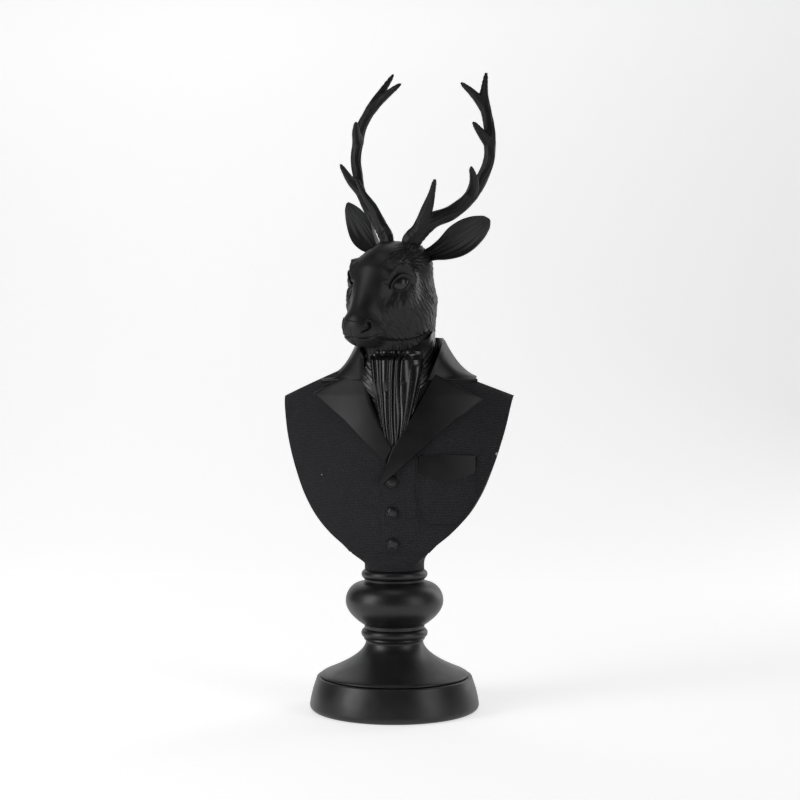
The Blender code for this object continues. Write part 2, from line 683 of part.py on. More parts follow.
def tube(points, radius, name, holder, sides=1):
    """A closed round tube through points, as a mesh."""
    curve = bpy.data.curves.new(name, "CURVE")
    curve.dimensions = "3D"
    curve.bevel_depth = radius
    curve.bevel_resolution = sides
    curve.use_fill_caps = True
    line = curve.splines.new("POLY")
    line.points.add(len(points) - 1)
    for spot, point in zip(line.points, points):
        spot.co = (*point, 1.0)
    guide = bpy.data.objects.new(name, curve)
    holder.objects.link(guide)
    bpy.context.view_layer.update()
    mesh = bpy.data.meshes.new_from_object(guide.evaluated_get(bpy.context.evaluated_depsgraph_get()))
    bm = bmesh.new()
    bm.from_mesh(mesh)
    bmesh.ops.remove_doubles(bm, verts=bm.verts, dist=1e-6)
    made = object_from(bm, name, holder)
    made.matrix_world = guide.matrix_world
    bpy.data.objects.remove(guide, do_unlink=True)
    return made


def make_mouth(holder):
    """The groove between the lips, round the front of the muzzle and up to the two corners."""
    points = []
    for step in range(-6, 7):
        turn = step / 6
        start = np.array([[0.185 * math.sin(turn * 1.45), -0.50 - 0.20 * math.cos(turn * 1.5),
                           -0.128 + 0.062 * abs(turn) ** 2.2]])
        points.append(tuple(settle(start, *head_masses(), HEAD_BLEND)[0]))
    return tube(points, MOUTH_RADIUS, "mouth", holder)


# An ear's root and tips (the deer's left one hangs lower), and its half-widths above and below its middle line.
EAR_ROOT = (0.22, -0.02, 0.665)
EAR_TIP = (0.811, 0.212)
EAR_TIP_HEIGHTS = {-1: 1.185, 1: 1.072}
EAR_SHARES = (0.0, 0.15, 0.30, 0.52, 0.75, 0.90, 1.0)
EAR_UPPER = (0.060, 0.060, 0.095, 0.140, 0.130, 0.085, 0.010)
EAR_LOWER = (0.085, 0.088, 0.140, 0.180, 0.150, 0.095, 0.010)


def make_ear(side, holder):
    """A leaf-shaped, cupped ear that stands out, back and up from the skull."""
    root = Vector(EAR_ROOT)
    tip = Vector((*EAR_TIP, EAR_TIP_HEIGHTS[side]))
    axis = (tip - root).normalized()
    facing = Vector((0.03, -1.0, 0.0))
    facing = (facing - axis * facing.dot(axis)).normalized()
    across = axis.cross(facing)
    across = across if across.z > 0 else -across
    rows = []
    for step in range(9):
        share = (step / 8) ** 0.9
        above = float(eased(share, EAR_SHARES, EAR_UPPER))
        below = float(eased(share, EAR_SHARES, EAR_LOWER))
        cup = 0.10 * (1 - share) ** 0.6 * math.sin(math.pi * min(share + 0.12, 1.0)) + 0.01
        middle = root + (tip - root) * share + facing * (-0.03 * math.sin(math.pi * share))
        front = []
        back = []
        for u in (-1.0, -0.6, 0.0, 0.6, 1.0):
            rim = middle + across * (u * (above if u > 0 else below)) + facing * (cup * (u * u - 0.6))
            front.append(tuple(rim))
            thick = 0.020 + 0.035 * (1 - u * u) * (1 - share)
            back.append(tuple(rim - facing * thick))
        rows.append(front + back[::-1])
    made = grid_surface(rows, "ear", holder, closed=True)
    if side < 0:
        made.data.transform(Matrix.Scale(-1, 4, (1, 0, 0)))
        made.data.flip_normals()
    return made


# Antlers

# Path of one antler from its root, as shares of its height: (outward, back, up, thickness).
BEAM = (
    (0.0, 0.0, 0.0, 0.054), (0.045, 0.010, 0.055, 0.045), (0.115, 0.030, 0.125, 0.043), (0.215, 0.095, 0.190, 0.035),
    (0.300, 0.125, 0.285, 0.033), (0.345, 0.145, 0.380, 0.035), (0.375, 0.155, 0.480, 0.031),
    (0.372, 0.158, 0.580, 0.031), (0.358, 0.160, 0.670, 0.030), (0.315, 0.178, 0.775, 0.027),
    (0.278, 0.205, 0.865, 0.025), (0.240, 0.275, 1.0, 0.009),
)
BROW_TINE = (1, ((0.098, -0.020, 0.168, 0.040), (0.145, -0.060, 0.255, 0.028), (0.190, -0.105, 0.365, 0.009)))
LOWER_TINE = (5, ((0.362, 0.060, 0.400, 0.023), (0.363, -0.015, 0.420, 0.009)))
UPPER_TINE = (8, ((0.335, 0.090, 0.675, 0.020), (0.320, 0.045, 0.675, 0.009)))
INNER_TIP = (10, ((0.195, 0.195, 0.915, 0.020), (0.128, 0.195, 0.935, 0.009)))
ANTLER_SEAT = (0.132, -0.046, 0.820)


def smooth_path(points, steps):
    """Points along a smooth curve through the given ones, evenly spaced between each pair."""
    places = np.arange(len(points))
    columns = np.asarray(points, float).T
    spread = np.linspace(0, len(points) - 1, steps * (len(points) - 1) + 1)
    return np.stack([eased(spread, places, column) for column in columns], axis=1)


def antler_limbs(side):
    """The beam and its tines as tapering limbs between neighbouring points."""
    paths = [BEAM] + [(BEAM[start], *branch) for start, branch in (BROW_TINE, LOWER_TINE, UPPER_TINE, INNER_TIP)]
    limbs = []
    for path in paths:
        smooth = smooth_path(path, 3) * np.array((side, 1.0, 1.0, 1.0))
        for first, last in zip(smooth, smooth[1:]):
            limbs.append((tuple(first[:3]), tuple(last[:3]), first[3], last[3]))
    return tuple(limbs)


def antler_place(side):
    """The antler's root on the crown, square to the head."""
    seat = Vector((side * ANTLER_SEAT[0], ANTLER_SEAT[1], ANTLER_SEAT[2]))
    return head_frame() @ Matrix.Translation(seat * HEAD_HEIGHT)


def make_antler(side, holder):
    """A branched antler with a short round root that plugs into the crown."""
    name = "antler_left" if side > 0 else "antler_right"
    made = blended_solid((), antler_limbs(side), 0.004, 0.0065, ANTLER_KEPT_FACES, name, holder)
    place = antler_place(side)
    made.data.transform(place @ Matrix.Scale(ANTLER_HEIGHT, 4))
    below = bmesh.new()
    bmesh.ops.create_cube(below, size=ANTLER_HEIGHT, matrix=place @ Matrix.Translation((0, 0, -ANTLER_HEIGHT / 2)))
    combine(made, object_from(below, "below", holder), "DIFFERENCE")
    root = bmesh.new()
    bmesh.ops.create_cone(root, cap_ends=True, segments=16, radius1=ANTLER_ROOT_RADIUS, radius2=ANTLER_ROOT_RADIUS,
                          depth=2 * ANTLER_ROOT_DEPTH, matrix=place)
    combine(made, object_from(root, "root", holder), "UNION")
    made.data.materials.append(resin("antler_resin", BLACK_RESIN, 0.5))
    return made


def cut_antler_seat(bust, antler, cutters):
    """A socket in the crown, the antler's own root swollen by the gap all round."""
    swollen = bpy.data.objects.new(antler.name + "_seat", antler.data.copy())
    cutters.objects.link(swollen)
    grow = swollen.modifiers.new("gap", "DISPLACE")
    grow.strength = 1.3 * SEAT_GAP
    grow.mid_level = 0.0
    combine(bust, applied(swollen), "DIFFERENCE")


def make_bust(holder):
    """Body, collar, cravat, head and ears as one casting."""
    bust = make_body(holder)
    details = [make_placket(holder), *pocket_pieces(holder), make_neckband(holder), make_cravat(holder)]
    details += [make_lapel(-1, holder), make_lapel(1, holder)]
    for index in range(BUTTON_COUNT):
        details.append(make_button(chest_level(0.517) - index * BUTTON_SPACING, holder))
    for detail in details:
        combine(bust, detail, "UNION")
    for folded in (make_collar(holder), make_head(holder)):
        combine(bust, folded, "UNION", folded=True)
    fill_hollows(bust)
    bust.data.materials.clear()
    bust.data.materials.append(resin("matt_resin", BLACK_CLOTH, 0.7))
    return bust


def main():
    clear_scene()
    root = bpy.context.scene.collection
    holder = new_collection("deer_bust", root)
    cutters = new_collection("cutters", root)
    cutters.hide_render = True
    make_pedestal(holder)
    bust = make_bust(holder)
    for side in (-1, 1):
        cut_antler_seat(bust, make_antler(side, holder), cutters)
    fill_hollows(bust)


main()
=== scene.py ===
"""The looks of a cast deer bust in a jacket and cravat, on a turned pedestal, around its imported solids."""

import math

import bmesh
import bpy
import numpy as np
from mathutils import Matrix, Vector
from mathutils.kdtree import KDTree


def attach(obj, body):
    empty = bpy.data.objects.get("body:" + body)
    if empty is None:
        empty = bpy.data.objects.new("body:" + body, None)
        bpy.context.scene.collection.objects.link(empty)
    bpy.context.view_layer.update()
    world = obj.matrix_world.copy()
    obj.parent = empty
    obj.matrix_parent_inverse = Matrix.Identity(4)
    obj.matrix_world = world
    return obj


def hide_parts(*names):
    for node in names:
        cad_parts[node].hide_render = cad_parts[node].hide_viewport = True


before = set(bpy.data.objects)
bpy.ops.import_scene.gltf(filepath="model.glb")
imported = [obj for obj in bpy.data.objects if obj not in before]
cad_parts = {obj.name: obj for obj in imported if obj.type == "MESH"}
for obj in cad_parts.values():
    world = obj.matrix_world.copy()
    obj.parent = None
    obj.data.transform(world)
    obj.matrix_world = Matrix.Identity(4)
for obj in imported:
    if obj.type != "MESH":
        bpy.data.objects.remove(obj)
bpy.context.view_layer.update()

# The pedestal.
# A hollow polyester-resin casting whose pattern was turned on a lathe: foot, flare, two rings and a bulb.
# It is sprayed satin black, so it shows long soft highlights with the faint ripple of a casting in them.

RESIN_IOR = 1.5


def linear(colour):
    """A colour written as sRGB hex, as the linear values a shader wants."""
    values = [int(colour[i:i + 2], 16) / 255 for i in (1, 3, 5)]
    return tuple(v / 12.92 if v <= 0.04045 else ((v + 0.055) / 1.055) ** 2.4 for v in values) + (1.0,)


def put(tree, kind, values=None, links=None, **settings):
    """Adds one node to a tree, with its settings, its own values and what feeds its inputs."""
    node = tree.nodes.new(kind)
    for name, value in settings.items():
        setattr(node, name, value)
    for key, value in (values or {}).items():
        node.inputs[key].default_value = value
    for key, source in (links or {}).items():
        tree.links.new(source, node.inputs[key])
    return node


def finish(name, colour, worn, roughness, specular, grain_mm, grain_depth_mm, stretch=1.0):
    """A painted resin finish: cloudy roughness, paler wear, and a cast grain that stretch draws out upright."""
    made = bpy.data.materials.new(name)
    made.use_nodes = True
    tree = made.node_tree
    shader = tree.nodes["Principled BSDF"]
    shader.inputs["IOR"].default_value = RESIN_IOR
    shader.inputs["Specular IOR Level"].default_value = specular
    place = put(tree, "ShaderNodeTexCoord").outputs["Object"]
    clouds = put(tree, "ShaderNodeTexNoise", {"Scale": 45.0, "Detail": 5.0, "Roughness": 0.6},
                 {"Vector": place})
    rough = put(tree, "ShaderNodeMapRange",
                {"From Min": 0.3, "From Max": 0.7, "To Min": roughness - 0.05, "To Max": roughness + 0.06},
                {"Value": clouds.outputs["Fac"]})
    tree.links.new(rough.outputs["Result"], shader.inputs["Roughness"])
    tone = put(tree, "ShaderNodeMix", {"A": linear(colour), "B": linear(worn)}, data_type="RGBA")
    share = put(tree, "ShaderNodeMapRange",
                {"From Min": 0.42, "From Max": 0.75, "To Min": 0.0, "To Max": 0.6},
                {"Value": clouds.outputs["Fac"]})
    tree.links.new(share.outputs["Result"], tone.inputs["Factor"])
    tree.links.new(tone.outputs["Result"], shader.inputs["Base Color"])
    drawn = put(tree, "ShaderNodeVectorMath", {1: (1.0, 1.0, 1.0 / stretch)}, {0: place},
                operation="MULTIPLY").outputs[0]
    grain = put(tree, "ShaderNodeTexNoise", {"Scale": 1000.0 / grain_mm, "Detail": 3.0}, {"Vector": drawn})
    bump = put(tree, "ShaderNodeBump", {"Strength": 0.35, "Distance": grain_depth_mm / 1000.0},
               {"Height": grain.outputs["Fac"]})
    tree.links.new(bump.outputs["Normal"], shader.inputs["Normal"])
    return made, tree, shader, place, bump, grain


satin_black = finish("satin black sprayed resin", "#0e0e10", "#161619", 0.40, 0.50, 2.2, 0.08)[0]


def placed(name, data):
    """A new object in the scene for a mesh, a lamp or a camera."""
    made = bpy.data.objects.new(name, data)
    bpy.context.scene.collection.objects.link(made)
    return made


def piece_from(vertices, faces, name, material, sharp_degrees=40.0):
    """A mesh piece with outward faces, smooth but for edges sharper than the angle."""
    mesh = bpy.data.meshes.new(name)
    mesh.from_pydata([tuple(v) for v in vertices], [], faces)
    bm = bmesh.new()
    bm.from_mesh(mesh)
    bmesh.ops.remove_doubles(bm, verts=bm.verts, dist=1e-7)
    bmesh.ops.recalc_face_normals(bm, faces=bm.faces)
    bm.to_mesh(mesh)
    bm.free()
    return dressed(placed(name, mesh), material, sharp_degrees)


def dressed(made, material, sharp_degrees=40.0):
    """Gives an object one material and smooth shading, but for edges sharper than the angle."""
    mesh = made.data
    mesh.materials.clear()
    mesh.materials.append(material)
    mesh.polygons.foreach_set("use_smooth", [True] * len(mesh.polygons))
    mesh.set_sharp_from_angle(angle=math.radians(sharp_degrees))
    mesh.update()
    return made


def new_tree(name, inputs):
    """A Geometry Nodes tree from geometry to geometry with the named inputs, each (name, kind, value)."""
    tree = bpy.data.node_groups.new(name, "GeometryNodeTree")
    tree.interface.new_socket("Geometry", in_out="INPUT", socket_type="NodeSocketGeometry")
    for label, kind, value in inputs:
        socket = tree.interface.new_socket(label, in_out="INPUT", socket_type="NodeSocket" + kind)
        if value is not None:
            socket.default_value = value
    tree.interface.new_socket("Geometry", in_out="OUTPUT", socket_type="NodeSocketGeometry")
    start = tree.nodes.new("NodeGroupInput")
    end = tree.nodes.new("NodeGroupOutput")
    return tree, start.outputs, end.inputs["Geometry"]


def grown(guide, tree, name, **inputs):
    """Runs a tree on a guide mesh and keeps the result as a plain mesh piece."""
    change = guide.modifiers.new("grown", "NODES")
    change.node_group = tree
    for item in tree.interface.items_tree:
        label = item.name.replace(" ", "_")
        if item.item_type == "SOCKET" and item.in_out == "INPUT" and label in inputs:
            change[item.identifier] = inputs[label]
    bpy.context.view_layer.update()
    seen = guide.evaluated_get(bpy.context.evaluated_depsgraph_get())
    mesh = bpy.data.meshes.new_from_object(seen)
    bpy.data.objects.remove(guide, do_unlink=True)
    bm = bmesh.new()
    bm.from_mesh(mesh)
    bmesh.ops.recalc_face_normals(bm, faces=bm.faces)
    bm.to_mesh(mesh)
    bm.free()
    mesh.name = name
    return placed(name, mesh)


def guide_from(points, edges, name):
    """A guide mesh of bare points and edges, for a tree to grow on."""
    mesh = bpy.data.meshes.new(name)
    mesh.from_pydata([tuple(p) for p in points], edges, [])
    return placed(name, mesh)


def ended(tree, geometry, material, result):
    """Ends a tree in real geometry that wears the given material."""
    real = put(tree, "GeometryNodeRealizeInstances", {}, {"Geometry": geometry})
    painted = put(tree, "GeometryNodeSetMaterial", {}, {"Geometry": real.outputs[0], "Material": material})
    tree.links.new(painted.outputs[0], result)


# A lathe: the profile's points, in order, are swung round the upright axis in even steps.
lathe, given, result = new_tree("lathe", [("Steps", "Int", 128), ("Points", "Int", 2),
                                          ("Material", "Material", None)])
grid = put(lathe, "GeometryNodeMeshGrid", {"Size X": 1.0, "Size Y": 1.0})
columns = put(lathe, "ShaderNodeMath", {1: 1.0}, {0: given["Steps"]}, operation="ADD").outputs[0]
lathe.links.new(columns, grid.inputs["Vertices X"])
lathe.links.new(given["Points"], grid.inputs["Vertices Y"])
index = put(lathe, "GeometryNodeInputIndex").outputs[0]
column = put(lathe, "ShaderNodeMath", {}, {0: index, 1: given["Points"]}, operation="DIVIDE").outputs[0]
column = put(lathe, "ShaderNodeMath", {}, {0: column}, operation="FLOOR").outputs[0]
row = put(lathe, "ShaderNodeMath", {}, {0: index, 1: given["Points"]}, operation="MODULO").outputs[0]
turn = put(lathe, "ShaderNodeMath", {1: 2 * math.pi}, {0: column}, operation="MULTIPLY").outputs[0]
turn = put(lathe, "ShaderNodeMath", {}, {0: turn, 1: given["Steps"]}, operation="DIVIDE").outputs[0]
spot = put(lathe, "GeometryNodeInputPosition").outputs[0]
sample = put(lathe, "GeometryNodeSampleIndex", {},
             {"Geometry": given["Geometry"], "Value": spot, "Index": row}, data_type="FLOAT_VECTOR")
swung = put(lathe, "ShaderNodeVectorRotate", {"Axis": (0, 0, 1)},
            {"Vector": sample.outputs[0], "Angle": turn}).outputs[0]
moved = put(lathe, "GeometryNodeSetPosition", {}, {"Geometry": grid.outputs["Mesh"], "Position": swung})
joined = put(lathe, "GeometryNodeMergeByDistance", {"Distance": 1e-6}, {"Geometry": moved.outputs[0]})
ended(lathe, joined.outputs[0], given["Material"], result)


def turned(profile, name, material, steps):
    """A turned piece from its profile of (radius, height) points."""
    points = [(r, 0.0, z) for r, z in profile]
    guide = guide_from(points, [(i, i + 1) for i in range(len(points) - 1)], name)
    return grown(guide, lathe, name, Steps=steps, Points=len(points), Material=material)


def arc(centre_r, centre_z, size_r, size_z, start, end, steps):
    """Points along part of an ellipse in the profile's plane, angles in degrees."""
    angles = np.radians(np.linspace(start, end, steps + 1))
    return [(centre_r + size_r * math.cos(a), centre_z + size_z * math.sin(a)) for a in angles]


FOOT_RADIUS, FOOT_TOP_RADIUS, FOOT_HEIGHT = 0.080, 0.0735, 0.031
FOOT_EDGE, FOOT_TOP_EDGE = 0.0047, 0.0015
FLARE_LIP_RADIUS, FLARE_LIP_HEIGHT, FLARE_HEIGHT = 0.070, 0.0025, 0.0305
STEM_RADIUS, FILLET_RADIUS, FILLET_HEIGHT = 0.0271, 0.0290, 0.0030
LOWER_RING_RADIUS, LOWER_RING_HEIGHT = 0.0315, 0.0090
CREASE_RADIUS, CREASE_HEIGHT = 0.0285, 0.0030
BULB_RADIUS, BULB_LOWER, BULB_UPPER, BULB_TOP_RADIUS = 0.0463, 0.0229, 0.0176, 0.0302
UPPER_RING_RADIUS, UPPER_RING_HEIGHT, PEDESTAL_TOP_RADIUS = 0.0313, 0.0088, 0.0278

lower_ring = FOOT_HEIGHT + FLARE_LIP_HEIGHT + FLARE_HEIGHT + FILLET_HEIGHT
crease = lower_ring + LOWER_RING_HEIGHT
bulb = crease + CREASE_HEIGHT
bulb_middle = bulb + BULB_LOWER
bulb_top = bulb_middle + BULB_UPPER
upper_ring = bulb_top + CREASE_HEIGHT
pedestal_top = upper_ring + UPPER_RING_HEIGHT

half = UPPER_RING_HEIGHT / 2
profile = [(0.0, pedestal_top), (PEDESTAL_TOP_RADIUS, pedestal_top)]
profile += arc(UPPER_RING_RADIUS - half, upper_ring + half, half, half, 75, -78, 16)
profile += [(CREASE_RADIUS, upper_ring), (CREASE_RADIUS, bulb_top + CREASE_HEIGHT / 3),
            (BULB_TOP_RADIUS, bulb_top)]
profile += arc(BULB_TOP_RADIUS, bulb_middle, BULB_RADIUS - BULB_TOP_RADIUS, BULB_UPPER, 80, 0, 18)
for share in np.linspace(0, 1, 20)[1:]:
    profile.append((CREASE_RADIUS + (BULB_RADIUS - CREASE_RADIUS) * (1 - share ** 2),
                    bulb_middle - share * BULB_LOWER))
profile.append((CREASE_RADIUS, crease))
half = LOWER_RING_HEIGHT / 2
profile += arc(LOWER_RING_RADIUS - half, lower_ring + half, half, half, 75, -70, 16)
profile.append((FILLET_RADIUS, lower_ring - FILLET_HEIGHT / 3))
for share in np.linspace(0, 0.96, 22):
    profile.append((STEM_RADIUS + (FLARE_LIP_RADIUS - STEM_RADIUS) * share ** 1.85,
                    lower_ring - FILLET_HEIGHT - share * FLARE_HEIGHT))
half = FLARE_LIP_HEIGHT / 2
profile += arc(FLARE_LIP_RADIUS - half, FOOT_HEIGHT + half, half, half, 50, -80, 8)
profile += arc(FOOT_TOP_RADIUS - FOOT_TOP_EDGE, FOOT_HEIGHT - FOOT_TOP_EDGE, FOOT_TOP_EDGE, FOOT_TOP_EDGE,
               90, 10, 6)
wall = FOOT_HEIGHT - FOOT_TOP_EDGE - FOOT_EDGE
for share in np.linspace(0, 1, 12)[1:-1]:
    profile.append((FOOT_TOP_RADIUS + (FOOT_RADIUS - FOOT_TOP_RADIUS) * share * (1.5 - share / 2),
                    FOOT_HEIGHT - FOOT_TOP_EDGE - share * wall))
profile += arc(FOOT_RADIUS - FOOT_EDGE, FOOT_EDGE, FOOT_EDGE, FOOT_EDGE, 5, -90, 10)
profile.append((0.0, 0.0))
pedestal = dressed(turned(profile, "turned_pedestal", satin_black, 144), satin_black, 50.0)
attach(pedestal, "root")
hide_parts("pedestal")

# The jacket body.
# The chest, cut sides and plain back of the bust, one casting with everything above it.
# The jacket is pressed with a fine tweed grain and painted matt black, so it is softer than the lapels.

SEAT_GAP = 0.0003
BODY_BOTTOM = pedestal_top + SEAT_GAP
TORSO_HEIGHT, SHOULDER_HALF_WIDTH, SOCKET_RADIUS = 0.190, 0.1115, 0.0282
CHEST_CURVE, BACK_CURVE, SIDE_CUT_INSET = 3.6, 2.0, 0.003
CHEST_LEAN, BACK_LEAN = 0.35, 0.30
BACK_SEAM_DEPTH, BACK_SEAM_WIDTH = 0.0009, 0.0011
SHOULDER_SLOPE, SHOULDER_ROLL, NECK_HALF_WIDTH = 0.40, 0.007, 0.038
HEM_SHARE, HEM_STEP = 0.110, 0.0012
SHOULDER_HEIGHT = BODY_BOTTOM + TORSO_HEIGHT * 0.865
FASTENING_X = 0.005
LEVELS = (0.0, 0.083, 0.13, 0.217, 0.305, 0.40, 0.58, 0.76, 1.0)
HALF_WIDTHS = (0.253, 0.308, 0.363, 0.513, 0.633, 0.724, 0.841, 0.927, 1.0)
CHEST_DEPTHS = (0.0, 0.020, 0.030, 0.046, 0.057, 0.067, 0.073, 0.062, 0.017)
BACK_DEPTHS = (0.0, 0.015, 0.025, 0.046, 0.062, 0.073, 0.088, 0.099, 0.104)


def eased(value, places, values):
    """A smooth curve through values at rising places."""
    places = np.asarray(places, float)
    values = np.asarray(values, float)
    slopes = np.gradient(values, places)
    value = np.clip(value, places[0], places[-1])
    i = np.clip(np.searchsorted(places, value) - 1, 0, len(places) - 2)
    span = places[i + 1] - places[i]
    t = (value - places[i]) / span
    start = values[i] * (1 + 2 * t) * (1 - t) ** 2 + slopes[i] * span * t * (1 - t) ** 2
    return start + values[i + 1] * t * t * (3 - 2 * t) - slopes[i + 1] * span * t * t * (1 - t)


def ease_step(value):
    """A smooth step from 0 to 1."""
    value = np.clip(value, 0.0, 1.0)
    return value * value * (3 - 2 * value)


def body_share(z):
    """A height as a share of the body, 0 at its seat and 1 at the shoulders' corners."""
    return (z - BODY_BOTTOM) / (SHOULDER_HEIGHT - BODY_BOTTOM)


def chest_level(share):
    """The height at a share of the body."""
    return BODY_BOTTOM + share * (SHOULDER_HEIGHT - BODY_BOTTOM)


def half_width(z):
    """Half the body's width at a height: its curved cut side, then the sloping shoulder."""
    below = SHOULDER_HALF_WIDTH * eased(body_share(z), LEVELS, HALF_WIDTHS)
    above = SHOULDER_HALF_WIDTH - (z - SHOULDER_HEIGHT) / SHOULDER_SLOPE
    return np.where(z <= SHOULDER_HEIGHT, below, above)


def chest_y(x, z):
    """The chest's front, which bulges ahead of the cut sides and rolls back at the shoulders."""
    depth = SOCKET_RADIUS + TORSO_HEIGHT * eased(body_share(z), LEVELS, CHEST_DEPTHS)
    above = np.maximum(z - SHOULDER_HEIGHT, 0.0)
    ridge = SHOULDER_HEIGHT + np.maximum(SHOULDER_HALF_WIDTH - np.abs(x), 0.0) * SHOULDER_SLOPE
    near = np.clip(1 - (ridge - z) / (2 * SHOULDER_ROLL), 0.0, 1.0)
    roll = SHOULDER_ROLL * (1 - np.sqrt(1 - near ** 2 * 0.96))
    return CHEST_CURVE * x * x - depth + above * CHEST_LEAN + roll


def back_y(x, z):
    """The plain back, with a shallow seam down its middle."""
    depth = SOCKET_RADIUS + TORSO_HEIGHT * eased(body_share(z), LEVELS, BACK_DEPTHS)
    above = np.maximum(z - SHOULDER_HEIGHT, 0.0)
    return depth - BACK_CURVE * x * x - above * BACK_LEAN


FRONT_STEPS, SIDE_STEPS = 120, 14


def body_section(z):
    """The body's outline at a height, round at the seat and shield-shaped above the hem."""
    wide = float(half_width(z))
    xs = np.linspace(-wide, wide, FRONT_STEPS + 1)
    front = np.stack([xs, chest_y(xs, z)], axis=1)
    back_wide = max(wide - SIDE_CUT_INSET, wide * 0.9)
    xs = np.linspace(back_wide, -back_wide, FRONT_STEPS // 2 + 1)
    seam = BACK_SEAM_DEPTH * np.exp(-(xs / BACK_SEAM_WIDTH) ** 2)
    back = np.stack([xs, back_y(xs, z) - seam * (body_share(z) > HEM_SHARE)], axis=1)
    share = np.linspace(0, 1, SIDE_STEPS + 1)[1:-1, None]
    loop = np.concatenate([front, front[-1] + (back[0] - front[-1]) * share, back,
                           back[-1] + (front[0] - back[-1]) * share])
    round_share = 1 - ease_step(body_share(z) / HEM_SHARE)
    reach = np.linalg.norm(loop, axis=1, keepdims=True)
    loop = loop + (loop / reach * SOCKET_RADIUS - loop) * round_share
    if z <= chest_level(HEM_SHARE):
        loop = loop * (1 - HEM_STEP / reach * (1 - round_share))
    return np.concatenate([loop, np.full((len(loop), 1), z)], axis=1)


def skin_over(rows, name, material, closed=True, capped=True, sharp_degrees=40.0):
    """A surface through rows of points; the rows may close on themselves, and the ends may be capped."""
    across = len(rows[0])
    faces = []
    for r in range(len(rows) - 1):
        for i in range(across if closed else across - 1):
            j = (i + 1) % across
            faces.append((r * across + i, r * across + j, (r + 1) * across + j, (r + 1) * across + i))
    if capped:
        faces.append(tuple(range(across)))
        faces.append(tuple(range((len(rows) - 1) * across, len(rows) * across)))
    return piece_from(np.concatenate(rows), faces, name, material, sharp_degrees)


def woven(name, colour, thread, roughness, thread_mm, depth_mm):
    """Matt paint over a pressed tweed: crossing threads, thick and thin, with flecks of a paler black.

    The weft counts the way round the body, so that the cut sides show the same weave as the chest.
    """
    made, tree, shader, place, bump, grain = finish(name, colour, thread, roughness, 0.22, 1.1, 0.10)
    scale = 1000.0 / thread_mm / 2
    drift = put(tree, "ShaderNodeTexNoise", {"Scale": 260.0, "Detail": 2.0}, {"Vector": place})
    sway = put(tree, "ShaderNodeVectorMath", {1: (0.0022, 0.0022, 0.0022)}, {0: drift.outputs["Color"]},
               operation="MULTIPLY")
    swayed = put(tree, "ShaderNodeVectorMath", {}, {0: place, 1: sway.outputs[0]}, operation="ADD").outputs[0]
    parts = put(tree, "ShaderNodeSeparateXYZ", {}, {0: swayed})
    out = put(tree, "ShaderNodeMath", {}, {0: parts.outputs["X"]}, operation="ABSOLUTE").outputs[0]
    round_body = put(tree, "ShaderNodeMath", {}, {0: out, 1: parts.outputs["Y"]}, operation="ADD").outputs[0]
    girth = put(tree, "ShaderNodeCombineXYZ", {}, {"X": round_body, "Z": parts.outputs["Z"]}).outputs[0]
    weft, warp = (put(tree, "ShaderNodeTexWave", {"Scale": scale, "Distortion": 3.0, "Detail": 1.0},
                      {"Vector": girth}, bands_direction=way) for way in "XZ")
    cross = put(tree, "ShaderNodeMath", {}, {0: weft.outputs["Fac"], 1: warp.outputs["Fac"]},
                operation="MULTIPLY")
    both = put(tree, "ShaderNodeMath", {}, {0: cross.outputs[0], 1: grain.outputs["Fac"]}, operation="ADD")
    tree.links.new(both.outputs[0], bump.inputs["Height"])
    bump.inputs["Strength"].default_value = 0.8
    bump.inputs["Distance"].default_value = depth_mm / 1000.0
    flecks = put(tree, "ShaderNodeMapRange",
                 {"From Min": 0.45, "From Max": 1.15, "To Min": 0.0, "To Max": 1.0}, {"Value": both.outputs[0]})
    tone = put(tree, "ShaderNodeMix", {"A": linear(colour), "B": linear(thread)},
               {"Factor": flecks.outputs["Result"]}, data_type="RGBA")
    # Mixes in the pale spots: a painted highlight on the left cut edge and a small pale spot on the right
    # breast.
    for spot_middle, size in GLINT_AND_PALE_SPOTS:
        off = put(tree, "ShaderNodeVectorMath", {1: spot_middle}, {0: place}, operation="DISTANCE").outputs["Value"]
        spot_share = put(tree, "ShaderNodeMapRange",
                   {"From Min": 0.6 * size, "From Max": size, "To Min": 0.9, "To Max": 0.0}, {"Value": off})
        tone = put(tree, "ShaderNodeMix", {"B": linear(GLINT_AND_SPOT_COLOUR)},
                   {"Factor": spot_share.outputs["Result"], "A": tone.outputs["Result"]}, data_type="RGBA")
    tree.links.new(tone.outputs["Result"], shader.inputs["Base Color"])
    return made


# Two pale spots mixed into the tweed's colour: a painted highlight on the left cut edge, and a small pale spot
# on the right breast.
GLINT_AND_SPOT_COLOUR = "#b4b0a8"
GLINT_AND_PALE_SPOTS = (((0.0981, -0.0068, 0.2413), 0.0017),
         ((-0.0644, float(chest_y(-0.0644, 0.2216)), 0.2216), 0.0007))
tweed_black = woven("matt black tweed-pressed resin", "#0b0b0c", "#343438", 0.70, 2.3, 0.60)

HEM_BEVEL = 0.0004
hem = chest_level(HEM_SHARE)
shoulder_top = SHOULDER_HEIGHT + (SHOULDER_HALF_WIDTH - NECK_HALF_WIDTH) * SHOULDER_SLOPE
levels = list(np.linspace(BODY_BOTTOM, hem, 14))
levels += list(np.linspace(hem + HEM_BEVEL, SHOULDER_HEIGHT, 90))
levels += list(np.linspace(SHOULDER_HEIGHT, shoulder_top, 26))[1:]
jacket = skin_over([body_section(z) for z in levels], "jacket_body", tweed_black)
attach(jacket, "root")
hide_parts("bust")

# Lapels and collar.
# Smooth facings of the same casting, rolled at the neck and thin at their edges, the wearer's left on top.
# Left without the tweed grain and rubbed to a satin, so they catch the light in broad planes.

satin_facing = finish("satin black smooth resin facing", "#0e0e10", "#18181b", 0.42, 0.26, 1.6, 0.05)[0]
LAPEL_ROLL, LAPEL_EDGE, LAPEL_LAP, SLAB_SINK = 0.0036, 0.0019, 0.0012, 0.0030
ROLL_SHARE, BEVEL_SHARE = 0.07, 0.03


